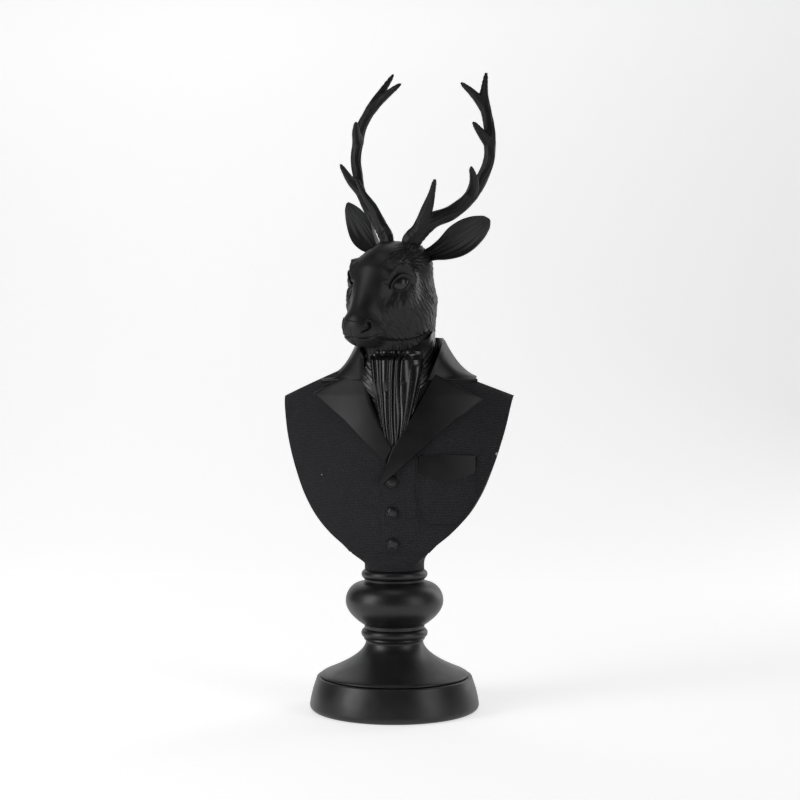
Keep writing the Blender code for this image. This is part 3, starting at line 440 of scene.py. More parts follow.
def between(points, share):
    """The point at a share of the way along a row of points, counted evenly from point to point."""
    place = share * (len(points) - 1)
    start = min(int(place), len(points) - 2)
    return np.array(points[start]) * (1 - place + start) + np.array(points[start + 1]) * (place - start)


def curved(points, steps):
    """Points along a smooth curve through the given ones."""
    spread = np.linspace(0, len(points) - 1, steps + 1)
    columns = np.asarray(points, float).T
    return np.stack([eased(spread, np.arange(len(points)), column) for column in columns], axis=1)


def slab(inner, outer, lift, along, across, name, material):
    """A slab on the chest between two edges given by (x, z); lift gives its height at a share across."""
    rows = []
    for i in range(along + 1):
        start = between(inner, i / along)
        end = between(outer, i / along)
        top = []
        for j in range(across + 1):
            point = start + (end - start) * j / across
            top.append((point[0], float(chest_y(point[0], point[1])) - lift(j / across), point[1]))
        under = [(p[0], float(chest_y(p[0], p[2])) + SLAB_SINK, p[2]) for p in reversed(top)]
        rows.append(np.array(top + under))
    return skin_over(rows, name, material)


def lapel_lift(extra):
    """A lapel's height across it: rolled at its fold, thin and bevelled at its cut edge."""
    def lift(across):
        roll = math.sqrt(1 - (1 - min(across / ROLL_SHARE, 1.0)) ** 2)
        edge = math.sqrt(max(1 - max(across - 1 + BEVEL_SHARE, 0.0) / BEVEL_SHARE, 0.0))
        return extra + (LAPEL_ROLL * roll * (1 - across) + LAPEL_EDGE * across) * (0.35 + 0.65 * edge)
    return lift


MM = 0.001
# Each lapel's rolled edge and cut edge on the chest as (x, z) in millimetres, from the collar down.
lapel_edges = {
    "lapel_right": ([(-25.0, 319.0), (-13.5, 288.7), (-3.8, 266.3), (5.4, 247.6)],
                    [(-48.5, 311.7), (-77.1, 298.3), (-42.3, 272.9), (-1.4, 233.9)]),
    "lapel_left": ([(41.5, 316.0), (37.2, 307.6), (21.7, 274.9), (5.4, 246.8), (-6.0, 214.3)],
                   [(60.5, 306.2), (85.6, 292.1), (61.6, 273.1), (27.5, 240.8), (-4.0, 213.3)]),
}
lapels = []
for name, (inner, outer) in lapel_edges.items():
    inner, outer = ([(x * MM, z * MM) for x, z in edge] for edge in (inner, outer))
    extra = LAPEL_LAP if name == "lapel_left" else 0.0
    lapels.append(slab(inner, outer, lapel_lift(extra), 24 * (len(inner) - 1), 28, name, satin_facing))

COLLAR_FOLD, COLLAR_STAND, COLLAR_THICKNESS, COLLAR_HOLLOW = 0.0030, 0.024, 0.0026, 0.005
COLLAR_STEPS, FALL_STEPS = 60, 24
# The collar's lines, front to back, as (out, back, height), out and back as shares of half the shoulders.
neck_backs = [(0.362, 0.07, 0.3474), (0.285, 0.32, 0.3504), (0.0, 0.41, 0.3524)]
neck_lines = {-1: [(0.285, None, chest_level(1.085)), (0.292, -0.275, 0.3420)] + neck_backs,
              1: [(0.285, None, chest_level(1.085)), (0.358, -0.15, 0.3324)] + neck_backs}
fall_line = [(0.667, None, chest_level(1.083)), (0.605, 0.11, 0.3142), (0.61, 0.31, 0.3122),
             (0.40, 0.475, 0.3072), (0.0, 0.53, 0.3052)]


def collar_line(points, side):
    """One of the collar's lines on one side; a point without a place back lies on the chest."""
    made = []
    for x, y, z in points:
        x = side * x * SHOULDER_HALF_WIDTH + FASTENING_X
        made.append((x, float(chest_y(x, z)) - COLLAR_FOLD if y is None else y * SHOULDER_HALF_WIDTH, z))
    return curved(made, COLLAR_STEPS)


rows = []
for side in (-1, 1):
    fold = collar_line(neck_lines[side], side)
    fall = collar_line(fall_line, side)
    half_rows = []
    for i in range(COLLAR_STEPS + 1):
        turn = i / COLLAR_STEPS
        inward = np.array((FASTENING_X - fold[i][0], -fold[i][1] * 0.8, 0.0))
        inward = inward / np.linalg.norm(inward)
        stand = fold[i] + inward * 0.004 + np.array((0, 0, -COLLAR_STAND)) * min(turn * 4, 1.0)
        row = [stand, fold[i] + inward * 0.0028 + np.array((0, 0, -0.006)) * min(turn * 4, 1.0)]
        for share in np.linspace(0, 1, FALL_STEPS + 1):
            point = fold[i] + (fall[i] - fold[i]) * share
            hollow = COLLAR_HOLLOW * math.sin(math.pi * share) * min(2.5 * turn, 1.0)
            row.append(point - np.array((0, 0, hollow)))
        half_rows.append(np.array(row))
    rows += half_rows if side < 0 else half_rows[::-1][1:]
collar = skin_over(rows, "collar", satin_facing, closed=False, capped=False, sharp_degrees=60.0)


def settled(obj):
    """Makes an object's evaluated mesh its own and drops its modifiers."""
    bpy.context.view_layer.update()
    mesh = bpy.data.meshes.new_from_object(obj.evaluated_get(bpy.context.evaluated_depsgraph_get()))
    obj.modifiers.clear()
    obj.data = mesh
    return obj


thickness = collar.modifiers.new("cast thickness", "SOLIDIFY")
thickness.thickness = COLLAR_THICKNESS
thickness.offset = 0.0
settled(collar)
for part in lapels + [collar]:
    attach(part, "root")
    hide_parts("bust")

# Front edge, pocket and buttons.
# The lapped front edge, the patch pocket with its pointed flap and piped outline, and three domed buttons.
# All are raised in the casting; the flap is smooth like the lapels, the buttons are satin, the rest has the
# tweed grain.

FRONT_EDGE_LIFT, FLAP_LIFT, PATCH_LIFT, PIPING_RADIUS = 0.0011, 0.0021, 0.0008, 0.0007
front_hem = hem + 0.0006


def front_edge_lift(across):
    """The front edge's height across it: rounded at its edge and fading into the chest."""
    return FRONT_EDGE_LIFT * (1 - across) * min(across / 0.04 + 0.4, 1.0) - 0.0002 * across


placket = slab([(-0.0053, 0.2160), (-0.0053, front_hem)], [(0.0200, 0.2240), (0.0160, front_hem)],
               front_edge_lift, 60, 18, "front_edge", tweed_black)
flap = slab([(0.0301, 0.2400), (0.0550, 0.2408), (0.0797, 0.2400)],
            [(0.0294, 0.2252), (0.0566, 0.2142), (0.0798, 0.2246)],
            lambda across: FLAP_LIFT, 32, 12, "pocket_flap", satin_facing)
patch = slab([(0.0285, 0.2360), (0.0285, 0.1878), (0.0379, 0.1756)],
             [(0.0812, 0.2360), (0.0800, 0.1988), (0.0625, 0.1750)],
             lambda across: PATCH_LIFT, 40, 40, "pocket_patch", tweed_black)

piping, given, result = new_tree("piping", [("Radius", "Float", 0.0005), ("Material", "Material", None)])
line = put(piping, "GeometryNodeMeshToCurve", {}, {"Mesh": given["Geometry"]})
ring = put(piping, "GeometryNodeCurvePrimitiveCircle", {"Resolution": 10}, {"Radius": given["Radius"]})
cord = put(piping, "GeometryNodeCurveToMesh", {"Fill Caps": True},
           {"Curve": line.outputs[0], "Profile Curve": ring.outputs[0]})
ended(piping, cord.outputs[0], given["Material"], result)


def piped(points, lift, radius, name):
    """A raised line in the casting along points on the chest."""
    on = [(x, float(chest_y(x, z)) - lift, z) for x, z in points]
    guide = guide_from(on, [(i, i + 1) for i in range(len(on) - 1)], name)
    return dressed(grown(guide, piping, name, Radius=radius, Material=tweed_black), tweed_black, 60.0)


def walked(points, step=0.002):
    """Points every few millimetres along straight runs."""
    made = []
    for start, end in zip(points, points[1:]):
        start, end = np.array(start), np.array(end)
        count = max(int(np.linalg.norm(end - start) / step), 1)
        made += [start + (end - start) * i / count for i in range(count)]
    return made + [np.array(points[-1])]


pocket_outline = [(0.0285, 0.2385), (0.0285, 0.1878), (0.0379, 0.1756), (0.0625, 0.1750), (0.0800, 0.1975),
                  (0.0812, 0.2385)]
pocket_line = piped(walked(pocket_outline), PATCH_LIFT, PIPING_RADIUS, "pocket_piping")

satin_button = finish("satin black resin button", "#101012", "#1a1a1d", 0.30, 0.42, 0.8, 0.03)[0]
BUTTON_RADIUS, BUTTON_HEIGHT = 0.0054, 0.0024
# The button's profile as shares of its radius and height: domed middle, a groove, a rim and a shank to sink.
button_shares = [(0.0, 1.0), (0.25, 0.985), (0.5, 0.93), (0.62, 0.86), (0.70, 0.72), (0.76, 0.66), (0.81, 0.80),
                 (0.87, 0.92), (0.93, 0.88), (0.98, 0.62), (1.0, 0.3), (1.0, -1.6), (0.0, -1.6)]
button_profile = [(r * BUTTON_RADIUS, h * BUTTON_HEIGHT) for r, h in button_shares]
button = turned(button_profile, "button", satin_button, 40)

row_tree, given, result = new_tree("set in a row", [("Button", "Object", None),
                                                    ("Material", "Material", None)])
shape = put(row_tree, "GeometryNodeObjectInfo", {}, {"Object": given["Button"]})
facing = put(row_tree, "GeometryNodeInputNamedAttribute", {"Name": "facing"}, data_type="FLOAT_VECTOR")
aim = put(row_tree, "FunctionNodeAlignRotationToVector", {}, {"Vector": facing.outputs[0]}, axis="Z")
dots = put(row_tree, "GeometryNodeMeshToPoints", {}, {"Mesh": given["Geometry"]})
sewn = put(row_tree, "GeometryNodeInstanceOnPoints", {},
           {"Points": dots.outputs[0], "Instance": shape.outputs["Geometry"], "Rotation": aim.outputs[0]})
ended(row_tree, sewn.outputs[0], given["Material"], result)
BUTTON_HEIGHTS = (0.2160, 0.1880, 0.1587)
spots = [(FASTENING_X, z) for z in BUTTON_HEIGHTS]
guide = guide_from([(x, float(chest_y(x, z)), z) for x, z in spots], [], "buttons")
ways = guide.data.attributes.new("facing", "FLOAT_VECTOR", "POINT")
for way, (x, z) in zip(ways.data, spots):
    slope = float(chest_y(x, z + 0.002) - chest_y(x, z - 0.002)) / 0.004
    way.vector = (0.0, -1.0, slope)
buttons = dressed(grown(guide, row_tree, "buttons", Button=button, Material=satin_button), satin_button, 50.0)
bpy.data.objects.remove(button, do_unlink=True)
for part in (placket, flap, patch, buttons, pocket_line):
    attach(part, "root")
    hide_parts("bust")

# The cravat.
# A pleated bib gathered under the throat, over a band wound round the neck in slanting folds.
# Cast smooth and rubbed up brighter than the rest, so each fold carries its own long highlight.

glossy_cravat = finish("polished black resin cloth", "#0e0e10", "#18181b", 0.27, 0.50, 1.2, 0.012)[0]
BAND_LOW = 0.280
BAND_ROWS, BAND_COLUMNS = 60, 180
BAND_FOLD_SPACING, BAND_FOLD_DEPTH, BAND_SLANT = 0.0050, 0.0024, 0.030
HEM_COVER = 0.003


def fur_hem(angle):
    """Height of the fur's lower edge round the neck; the angle is 0 in front, positive to the deer's left."""
    return 0.3315 + 0.022 * ease_step((np.abs(angle + 0.05) - 0.70) / 0.85)


def band_reach(share):
    """How far the band stands from the neck's middle, from its lower edge to where the fur covers it."""
    return 0.0368 + 0.0060 * (1 - share) ** 1.2 - 0.030 * (max(0.55 - share, 0.0)) ** 1.5


rows = []
for step in range(BAND_ROWS + 1):
    share = step / BAND_ROWS
    row = []
    for i in range(BAND_COLUMNS):
        angle = 2 * math.pi * i / BAND_COLUMNS
        from_front = math.atan2(math.cos(angle), -math.sin(angle))
        top = float(fur_hem(from_front)) + HEM_COVER
        z = BAND_LOW + (top - BAND_LOW) * share
        slant = (z - BAND_SLANT * abs(from_front)) / BAND_FOLD_SPACING + 0.3 * math.sin(2.3 * from_front)
        fold = abs(math.cos(math.pi * slant)) ** 0.7 * (0.75 + 0.25 * math.sin(2.1 * math.floor(slant + 0.5)))
        reach = band_reach(share) + BAND_FOLD_DEPTH * fold * math.sin(math.pi * min(share * 1.1, 1.0)) ** 0.5
        row.append((reach * math.cos(angle) + 0.0015, reach * math.sin(angle) * 0.98, z))
    rows.append(np.array(row))
band = skin_over(rows, "cravat_band", glossy_cravat, sharp_degrees=180.0)

PLEATS, PLEAT_DEPTH = 7, 0.0042
BIB_TOP, BIB_TIP = 0.3370, 0.2450
BIB_CLEAR, BIB_BACK, BIB_EDGE_FALL = 0.0032, 0.014, 0.0035
BIB_ROWS, BIB_COLUMNS = 120, 240
rows = []
for step in range(BIB_ROWS + 1):
    share = step / BIB_ROWS
    z = BIB_TOP + (BIB_TIP - BIB_TOP) * share
    wide_now = 0.0235 * (1 - share) ** 0.55 + 0.003
    centre = 0.0085 - 0.0015 * share
    full = 0.0180 * (1 - share) ** 1.15 + 0.0015
    up_band = (z - BAND_LOW) / (float(fur_hem(0.0)) + HEM_COVER - BAND_LOW)
    tucked = 1 - 0.13 * float(ease_step((z - 0.3275) / 0.0075))
    row = []
    for i in range(BIB_COLUMNS + 1):
        u = 2 * i / BIB_COLUMNS - 1
        sway = 0.28 * math.sin(2.6 * u + 1.0 + 2.4 * share) + 0.18 * math.sin(5.3 * u + 3.1 * share)
        phase = PLEATS * (u + 1) / 2 + sway
        ridge = abs(math.cos(math.pi * phase)) ** 0.8
        depth = PLEAT_DEPTH * (0.62 + 0.38 * math.sin(1.7 * math.floor(phase + 0.5) + 1)) * (1 - 0.50 * share)
        x = centre + u * wide_now
        ground = float(chest_y(x, z)) - full * (1 - 0.35 * u * u)
        round_neck = -math.sqrt(max((band_reach(min(up_band, 1.0)) + BIB_CLEAR) ** 2 - x * x, 0.0))
        ground = min(ground, round_neck)
        edge = BIB_EDGE_FALL * float(ease_step((abs(u) - 0.84) / 0.16))
        row.append((x, (ground + edge - depth * (ridge - 0.5)) * tucked, z))
    sunk = [(p[0], p[1] + BIB_BACK, p[2]) for p in reversed(row[::6])]
    rows.append(np.array(row + sunk))
bib = skin_over(rows, "cravat_bib", glossy_cravat, sharp_degrees=180.0)
for part in (bib, band):
    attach(part, "root")
    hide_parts("bust")

# The deer's head and neck.
# The top of the bust casting, modelled by hand: smooth bridge and forehead, fur strokes round eyes and jaw.
# Satin black, so each stroke shows as a fine light and dark line.

HEAD_UNIT, HEAD_PIVOT_HEIGHT = 0.100, 0.2285
HEAD_YAW, HEAD_ROLL = math.radians(-22.5), math.radians(5.7)
head_pivot = Matrix.Translation((0.0, 0.0, BODY_BOTTOM + HEAD_PIVOT_HEIGHT))
head_place = (head_pivot @ Matrix.Rotation(HEAD_YAW, 4, "Z") @ Matrix.Rotation(HEAD_ROLL, 4, "Y")
              @ Matrix.Scale(HEAD_UNIT, 4))
# Masses as (middle, half-sizes), x to the deer's left, y back, z up, one unit to 100 mm.
MASSES = (
    ((0.0, -0.04, 0.46), (0.30, 0.41, 0.335)),
    ((0.0, -0.30, 0.52), (0.21, 0.19, 0.20)),
    ((0.0, -0.61, 0.0), (0.125, 0.075, 0.08)),
    ((0.0, -0.540, -0.085), (0.130, 0.115, 0.068)),
)
PAIRED_MASSES = (
    ((0.17, -0.22, 0.20), (0.145, 0.23, 0.22)),
    ((0.195, -0.07, 0.13), (0.150, 0.22, 0.17)),
    ((0.135, -0.03, 0.735), (0.085, 0.085, 0.06)),
    ((0.20, 0.0, 0.60), (0.125, 0.13, 0.13)),
)
# Tapering limbs: (start, end, start radius, end radius).
LIMBS = (
    ((0.0, 0.01, -0.55), (0.0, 0.05, 0.22), 0.388, 0.355),
    ((0.0, -0.37, 0.44), (0.0, -0.585, 0.05), 0.180, 0.10),
    ((0.0, -0.25, -0.01), (0.0, -0.530, -0.100), 0.15, 0.058),
)
PAIRED_LIMBS = (
    ((0.15, -0.30, 0.24), (0.055, -0.53, -0.01), 0.120, 0.085),
    ((0.13, -0.06, 0.02), (0.045, -0.48, -0.070), 0.13, 0.08),
    ((0.195, -0.430, 0.490), (0.280, -0.360, 0.522), 0.047, 0.047),
    ((0.280, -0.360, 0.522), (0.290, -0.245, 0.470), 0.047, 0.040),
    ((0.175, -0.430, 0.320), (0.240, -0.350, 0.290), 0.050, 0.050),
    ((0.240, -0.350, 0.290), (0.265, -0.235, 0.310), 0.050, 0.045),
)


def mirrored(shapes):
    """Each shape and its twin on the other side: a mass has one point to turn round, a limb has two."""
    made = []
    for shape in shapes:
        for side in (-1, 1):
            twin = list(shape)
            for i in range(1 if len(shape) == 2 else 2):
                twin[i] = (side * shape[i][0], *shape[i][1:])
            made.append(tuple(twin))
    return made


def distances(points, masses, limbs):
    """How far points lie outside each mass and each limb; a limb may be flattened along a given way."""
    found = []
    for middle, sizes in masses:
        scaled = (points - np.array(middle)) / np.array(sizes)
        reach = np.linalg.norm(scaled, axis=1)
        found.append(reach * (reach - 1) / (np.linalg.norm(scaled / np.array(sizes), axis=1) + 1e-9))
    for limb in limbs:
        start, end, first, last = limb[:4]
        start = np.array(start)
        run = np.array(end) - start
        share = np.clip((points - start) @ run / (run @ run), 0, 1)
        offset = points - start - share[:, None] * run
        if len(limb) > 4:
            broad = np.array(limb[4])
            offset = offset - (offset @ broad)[:, None] * broad * (1 - 1 / limb[5])
        found.append(np.linalg.norm(offset, axis=1) - first - (last - first) * share)
    return found


def blended(points, form):
    """How far points lie outside a form, which is (masses, limbs, softness of their joins)."""
    masses, limbs, soft = form
    found = np.array(distances(points, masses, limbs))
    lowest = found.min(axis=0)
    return lowest - soft * np.log(np.exp(-(found - lowest) / soft).sum(axis=0))


def drawn_on(points, form, rounds=5):
    """Moves points onto a form's surface."""
    step = 1e-3
    for _ in range(rounds):
        value = blended(points, form)
        slope = np.stack([(blended(points + step * axis, form) - value) / step for axis in np.eye(3)], axis=1)
        points = points - (value / np.maximum((slope ** 2).sum(axis=1), 0.2))[:, None] * slope
    return points


def points_of(mesh):
    """A mesh's points as rows of an array."""
    values = np.empty(len(mesh.vertices) * 3)
    mesh.vertices.foreach_get("co", values)
    return values.reshape(-1, 3)


def normals_of(mesh):
    """The outward way at each point of a mesh."""
    values = np.empty(len(mesh.vertices) * 3)
    mesh.vertex_normals.foreach_get("vector", values)
    return values.reshape(-1, 3)


def set_points(mesh, points):
    """Moves a mesh's points to the rows of an array."""
    mesh.vertices.foreach_set("co", np.ascontiguousarray(points, dtype=np.float32).ravel())
    mesh.update()


def sculpted(form, coarse, fine, name):
    """One closed skin over a form, with even small faces."""
    masses, limbs, _ = form
    bm = bmesh.new()
    for middle, sizes in masses:
        place = Matrix.Translation(middle) @ Matrix.Diagonal((*sizes, 1.0))
        bmesh.ops.create_icosphere(bm, subdivisions=3, radius=1.0, matrix=place)
    for limb in limbs:
        start, end = Vector(limb[0]), Vector(limb[1])
        run = end - start
        place = Matrix.Translation((start + end) / 2) @ run.to_track_quat("Z", "Y").to_matrix().to_4x4()
        bmesh.ops.create_cone(bm, cap_ends=True, segments=16, radius1=limb[2], radius2=limb[3],
                              depth=run.length, matrix=place)
        for spot, radius in ((start, limb[2]), (end, limb[3])):
            bmesh.ops.create_icosphere(bm, subdivisions=2, radius=radius, matrix=Matrix.Translation(spot))
    mesh = bpy.data.meshes.new(name)
    bm.to_mesh(mesh)
    bm.free()
    made = placed(name, mesh)
    for size in (coarse, fine):
        skin = made.modifiers.new("skin", "REMESH")
        skin.mode = "VOXEL"
        skin.voxel_size = size
        settled(made)
        set_points(made.data, drawn_on(points_of(made.data), form))
    return made


EYE = Vector((0.238, -0.352, 0.412))
EYE_OUT = Vector((0.80, -0.60, 0.06)).normalized()
EYE_FORE = Vector((-0.58, -0.78, -0.22))
EYE_FORE = (EYE_FORE - EYE_OUT * EYE_FORE.dot(EYE_OUT)).normalized()
EYE_UP = EYE_OUT.cross(EYE_FORE) * -1
EYE_BALL = 0.088
HEAD_BLEND, HEAD_COARSE, HEAD_FINE, NECK_CUT = 0.042, 0.022, 0.0100, -0.46
HEAD_FORM = (MASSES + tuple(mirrored(PAIRED_MASSES)), LIMBS + tuple(mirrored(PAIRED_LIMBS)), HEAD_BLEND)
head = sculpted(HEAD_FORM, HEAD_COARSE, HEAD_FINE, "deer_head")
bm = bmesh.new()
bm.from_mesh(head.data)
bmesh.ops.bisect_plane(bm, geom=bm.verts[:] + bm.edges[:] + bm.faces[:], plane_co=(0.0, 0.0, NECK_CUT),
                       plane_no=(0.0, 0.0, -1.0), clear_outer=True)
bmesh.ops.holes_fill(bm, edges=[e for e in bm.edges if e.is_boundary], sides=0)
bm.to_mesh(head.data)
bm.free()


def finer(obj, centre, reach):
    """Halves the faces near a point."""
    bm = bmesh.new()
    bm.from_mesh(obj.data)
    near = [e for e in bm.edges if all((v.co - centre).length < reach for v in e.verts)]
    bmesh.ops.subdivide_edges(bm, edges=near, cuts=1, use_grid_fill=True)
    bm.to_mesh(obj.data)
    bm.free()


NOSE, EYE_SKIN = Vector((0.0, -0.63, -0.03)), Vector((0.27, -0.375, 0.415))
for side in (-1, 1):
    for reach in (0.17, 0.12):
        finer(head, Vector((side * EYE_SKIN.x, EYE_SKIN.y, EYE_SKIN.z)), reach)
finer(head, NOSE, 0.19)
places = points_of(head.data)
open_skin = places[:, 2] > NECK_CUT + 0.02
places[open_skin] = drawn_on(places[open_skin], HEAD_FORM, 2)
set_points(head.data, places)


def eyelids(points):
    """Draws the skin near each eye over the ball: a thick upper lid with a crease above, a thin lower one."""
    points = points.copy()
    for side in (-1, 1):
        flip = np.array((side, 1.0, 1.0))
        local = points * flip - np.array(EYE)
        reach = np.linalg.norm(local, axis=1)
        near = np.flatnonzero((reach < 0.25) & (local @ np.array(EYE_OUT) > 0))
        local, r = local[near], reach[near]
        fore = np.degrees(np.arctan2(local @ np.array(EYE_FORE), local @ np.array(EYE_OUT)))
        lift = np.degrees(np.arcsin(np.clip(local @ np.array(EYE_UP) / r, -1, 1)))
        along = (fore + 60) / 126
        inner = np.clip(along, 0.0, 1.0)
        middle = 8 - 30 * along
        arch = np.sin(np.pi * inner)
        above = middle + 40 * arch ** 0.75 - lift
        below = lift - middle + 33 * arch ** 0.85
        ends = np.where(along < 0, 1.6 * (fore + 60), np.where(along > 1, 2.2 * (66 - fore), 90.0))
        inside = np.minimum(np.minimum(above, below), ends)
        top = above < below
        places = (-60, -28, -17, -11, -5, -1.5, 1.5, 6, 90)
        upper = eased(inside, places, (0.026, 0.024, 0.006, 0.026, 0.032, 0.024, -0.004, -0.012, -0.012))
        lower = eased(inside, places, (0.014, 0.012, 0.006, 0.007, 0.010, 0.005, -0.006, -0.012, -0.012))
        share = ease_step((inside + 36) / 20)
        wanted = EYE_BALL + np.where(top, upper, lower)
        grown_r = r + (wanted - r) * share
        points[near] = (np.array(EYE) + local / r[:, None] * grown_r[:, None]) * flip
    return points


def to_path(points, path):
    """Distance from points to a path, and how far along it the nearest place is, from 0 to 1."""
    best = np.full(len(points), 9.0)
    place = np.zeros(len(points))
    for i, (start, end) in enumerate(zip(path, path[1:])):
        start, run = np.array(start), np.array(end) - np.array(start)
        share = np.clip((points - start) @ run / (run @ run), 0, 1)
        gap = np.linalg.norm(points - start - share[:, None] * run, axis=1)
        closer = gap < best
        best = np.where(closer, gap, best)
        place = np.where(closer, (i + share) / (len(path) - 1), place)
    return best, place


set_points(head.data, eyelids(points_of(head.data)))
nostril = drawn_on(np.array([(0.128, -0.640, 0.016), (0.136, -0.636, -0.006), (0.122, -0.648, -0.028),
                             (0.084, -0.672, -0.056)]), HEAD_FORM)
mouth = []
for step in range(-16, 17):
    turn = step / 16
    start = np.array([[0.185 * math.sin(turn * 1.45), -0.50 - 0.20 * math.cos(turn * 1.5), -0.128]])
    start[0, 2] += 0.062 * abs(turn) ** 2.2
    mouth.append(tuple(drawn_on(start, HEAD_FORM)[0]))


def face_lines(points, normals):
    """Nostrils, mouth, nose pad and the fall of the jaw to the throat, pressed in along the normals."""
    sided = points.copy()
    sided[:, 0] = np.abs(sided[:, 0])
    gap, place = to_path(sided, nostril)
    bore = 0.021 - 0.013 * place
    sunk = 0.034 * (1 - 0.5 * place) * ease_step(1.25 - gap / bore)
    rim = 0.007 * np.exp(-((gap - 1.35 * bore) / 0.010) ** 2) * (1 - place)
    gap, place = to_path(points, mouth)
    ends = 1 - 0.6 * np.abs(2 * place - 1) ** 4
    line = 0.013 * np.exp(-(gap / 0.0075) ** 2) * ends
    lips = 0.004 * np.exp(-((gap - 0.022) / 0.012) ** 2) * ends
    pad = ease_step((0.034 - points[:, 2] - 0.9 * points[:, 0] ** 2) / 0.010)
    pad = pad * ease_step((-points[:, 1] - 0.60) / 0.03) * ease_step((0.13 - np.abs(points[:, 0])) / 0.03)
    pad = pad * ease_step((points[:, 2] + 0.115) / 0.02)
    along = points[:, 1]
    groove = 0.006 * np.exp(-(points[:, 0] / 0.007) ** 2) * ease_step((-0.02 - points[:, 2]) / 0.03)
    groove = groove * (along < -0.6)
    under = -0.07 - 0.08 * (along + 0.53) + 0.835 * (along + 0.53) * (along + 0.28) - points[:, 2]
    jaw = 0.034 * ease_step(under / 0.045) * np.exp(-np.maximum(under, 0.0) / 0.15)
    jaw = jaw * ease_step((along + 0.62) / 0.12) * ease_step((0.26 - along) / 0.12)
    return points + normals * (rim - sunk - line + lips + 0.006 * pad - groove - jaw)[:, None]


set_points(head.data, face_lines(points_of(head.data), normals_of(head.data)))


def fur_way(p):
    """Which way the fur lies at a point of the head, and how long and how deep its strokes are."""
    side = 1.0 if p[0] >= 0 else -1.0
    q = np.array((abs(p[0]), p[1], p[2]))
    away = q - np.array(EYE) - 0.05 * np.array(EYE_OUT)
    gap = np.linalg.norm(away)
    near_eye = float(ease_step((0.30 - gap) / 0.16))
    neck = float(ease_step((-0.06 - q[2] + 0.25 * q[1]) / 0.12))
    crown = float(ease_step((q[2] - 0.55) / 0.15))
    way = np.array((0.10, 0.80, -0.55)) * (1 - crown) + np.array((0.15, 0.8, 0.45)) * crown
    way = way * (1 - near_eye) + away / gap * near_eye
    way = way * (1 - neck) + np.array((0.0, 0.12, -1.0)) * neck
    bridge = float(ease_step((0.155 - q[0]) / 0.05) * ease_step((-0.22 - q[1]) / 0.10)
                   * ease_step((q[2] + 0.02) / 0.05))
    tip = float(ease_step((-q[1] - 0.46) / 0.10))
    brow = float(ease_step((0.125 - q[0]) / 0.05) * ease_step((0.30 - abs(q[2] - 0.60)) / 0.10)
                 * (q[1] < 0.05))
    weight = (1 - bridge) * (1 - 0.85 * tip) * (1 - 0.7 * brow) * float(gap > 0.115)
    length = 0.080 * (1 - near_eye) + 0.060 * near_eye + 0.060 * neck
    depth = (0.0024 + 0.0022 * neck) * (1 - 0.45 * near_eye)
    return way * np.array((side, 1, 1)), length, depth * weight, weight


def stroked(mesh, count, seed, way_at, width):
    """Cuts short tapering strokes into a surface, each along the way that the fur lies there."""
    dice = np.random.default_rng(seed)
    points, normals = points_of(mesh), normals_of(mesh)
    tree = KDTree(len(points))
    for index, point in enumerate(points):
        tree.insert(point, index)
    tree.balance()
    pressed = np.zeros(len(points))
    shares = np.zeros(len(points))
    for face in mesh.polygons:
        shares[face.vertices[0]] += face.area
    for pick in dice.choice(len(points), count, p=shares / shares.sum()):
        way, length, depth, weight = way_at(points[pick])
        chance, bend, stretch = dice.random(3)
        if weight < 0.03 or chance > weight:
            continue
        normal = normals[pick]
        across = np.cross(normal, way)
        across = across / (np.linalg.norm(across) + 1e-9)
        way = np.cross(across, normal)
        way = way + across * (bend - 0.5) * 0.5
        way = way / np.linalg.norm(way)
        across = np.cross(normal, way)
        length = length * (0.7 + 0.6 * stretch)
        found = np.array([i for _, i, _ in tree.find_range(points[pick], length * 0.62)])
        offset = points[found] - points[pick]
        along = offset @ way / (length / 2)
        aside = offset @ across / width
        taper = np.clip(1 - along ** 2, 0, 1)
        shape = -np.exp(-aside ** 2) + 0.55 * np.exp(-(np.abs(aside) - 1.6) ** 2)
        pressed[found] += depth * taper * shape
    pressed = np.clip(pressed, -0.016, 0.010)
    set_points(mesh, points + normals * pressed[:, None])


STROKES, STROKE_SEED, STROKE_WIDTH = 9000, 7, 0.0095
stroked(head.data, STROKES, STROKE_SEED, fur_way, STROKE_WIDTH)

satin_fur = finish("satin black carved resin fur", "#0f0f11", "#1c1c1f", 0.46, 0.32, 0.8, 0.20, 4.0)[0]
head.data.transform(head_place)
# The fur ends in locks over the cravat, and the neck draws in below them.
places = points_of(head.data)
angle = np.arctan2(places[:, 0], -places[:, 1])
locks = np.abs(np.sin(9.5 * angle + 0.8 * np.sin(4 * angle))) * 0.0035 + 0.0014 * np.sin(31 * angle)
tucked = ease_step((fur_hem(angle) - locks - places[:, 2]) / 0.0016)
places[:, :2] *= (1 - 0.11 * tucked)[:, None]
set_points(head.data, places)
dressed(head, satin_fur, 180.0)
eyes = []
for side, name in ((-1, "eye_right"), (1, "eye_left")):
    bm = bmesh.new()
    bmesh.ops.create_uvsphere(bm, u_segments=48, v_segments=32, radius=EYE_BALL,
                              matrix=head_place @ Matrix.Translation((side * EYE.x, EYE.y, EYE.z)))
    mesh = bpy.data.meshes.new(name)
    bm.to_mesh(mesh)
    bm.free()
    eyes.append(dressed(placed(name, mesh), satin_button, 180.0))

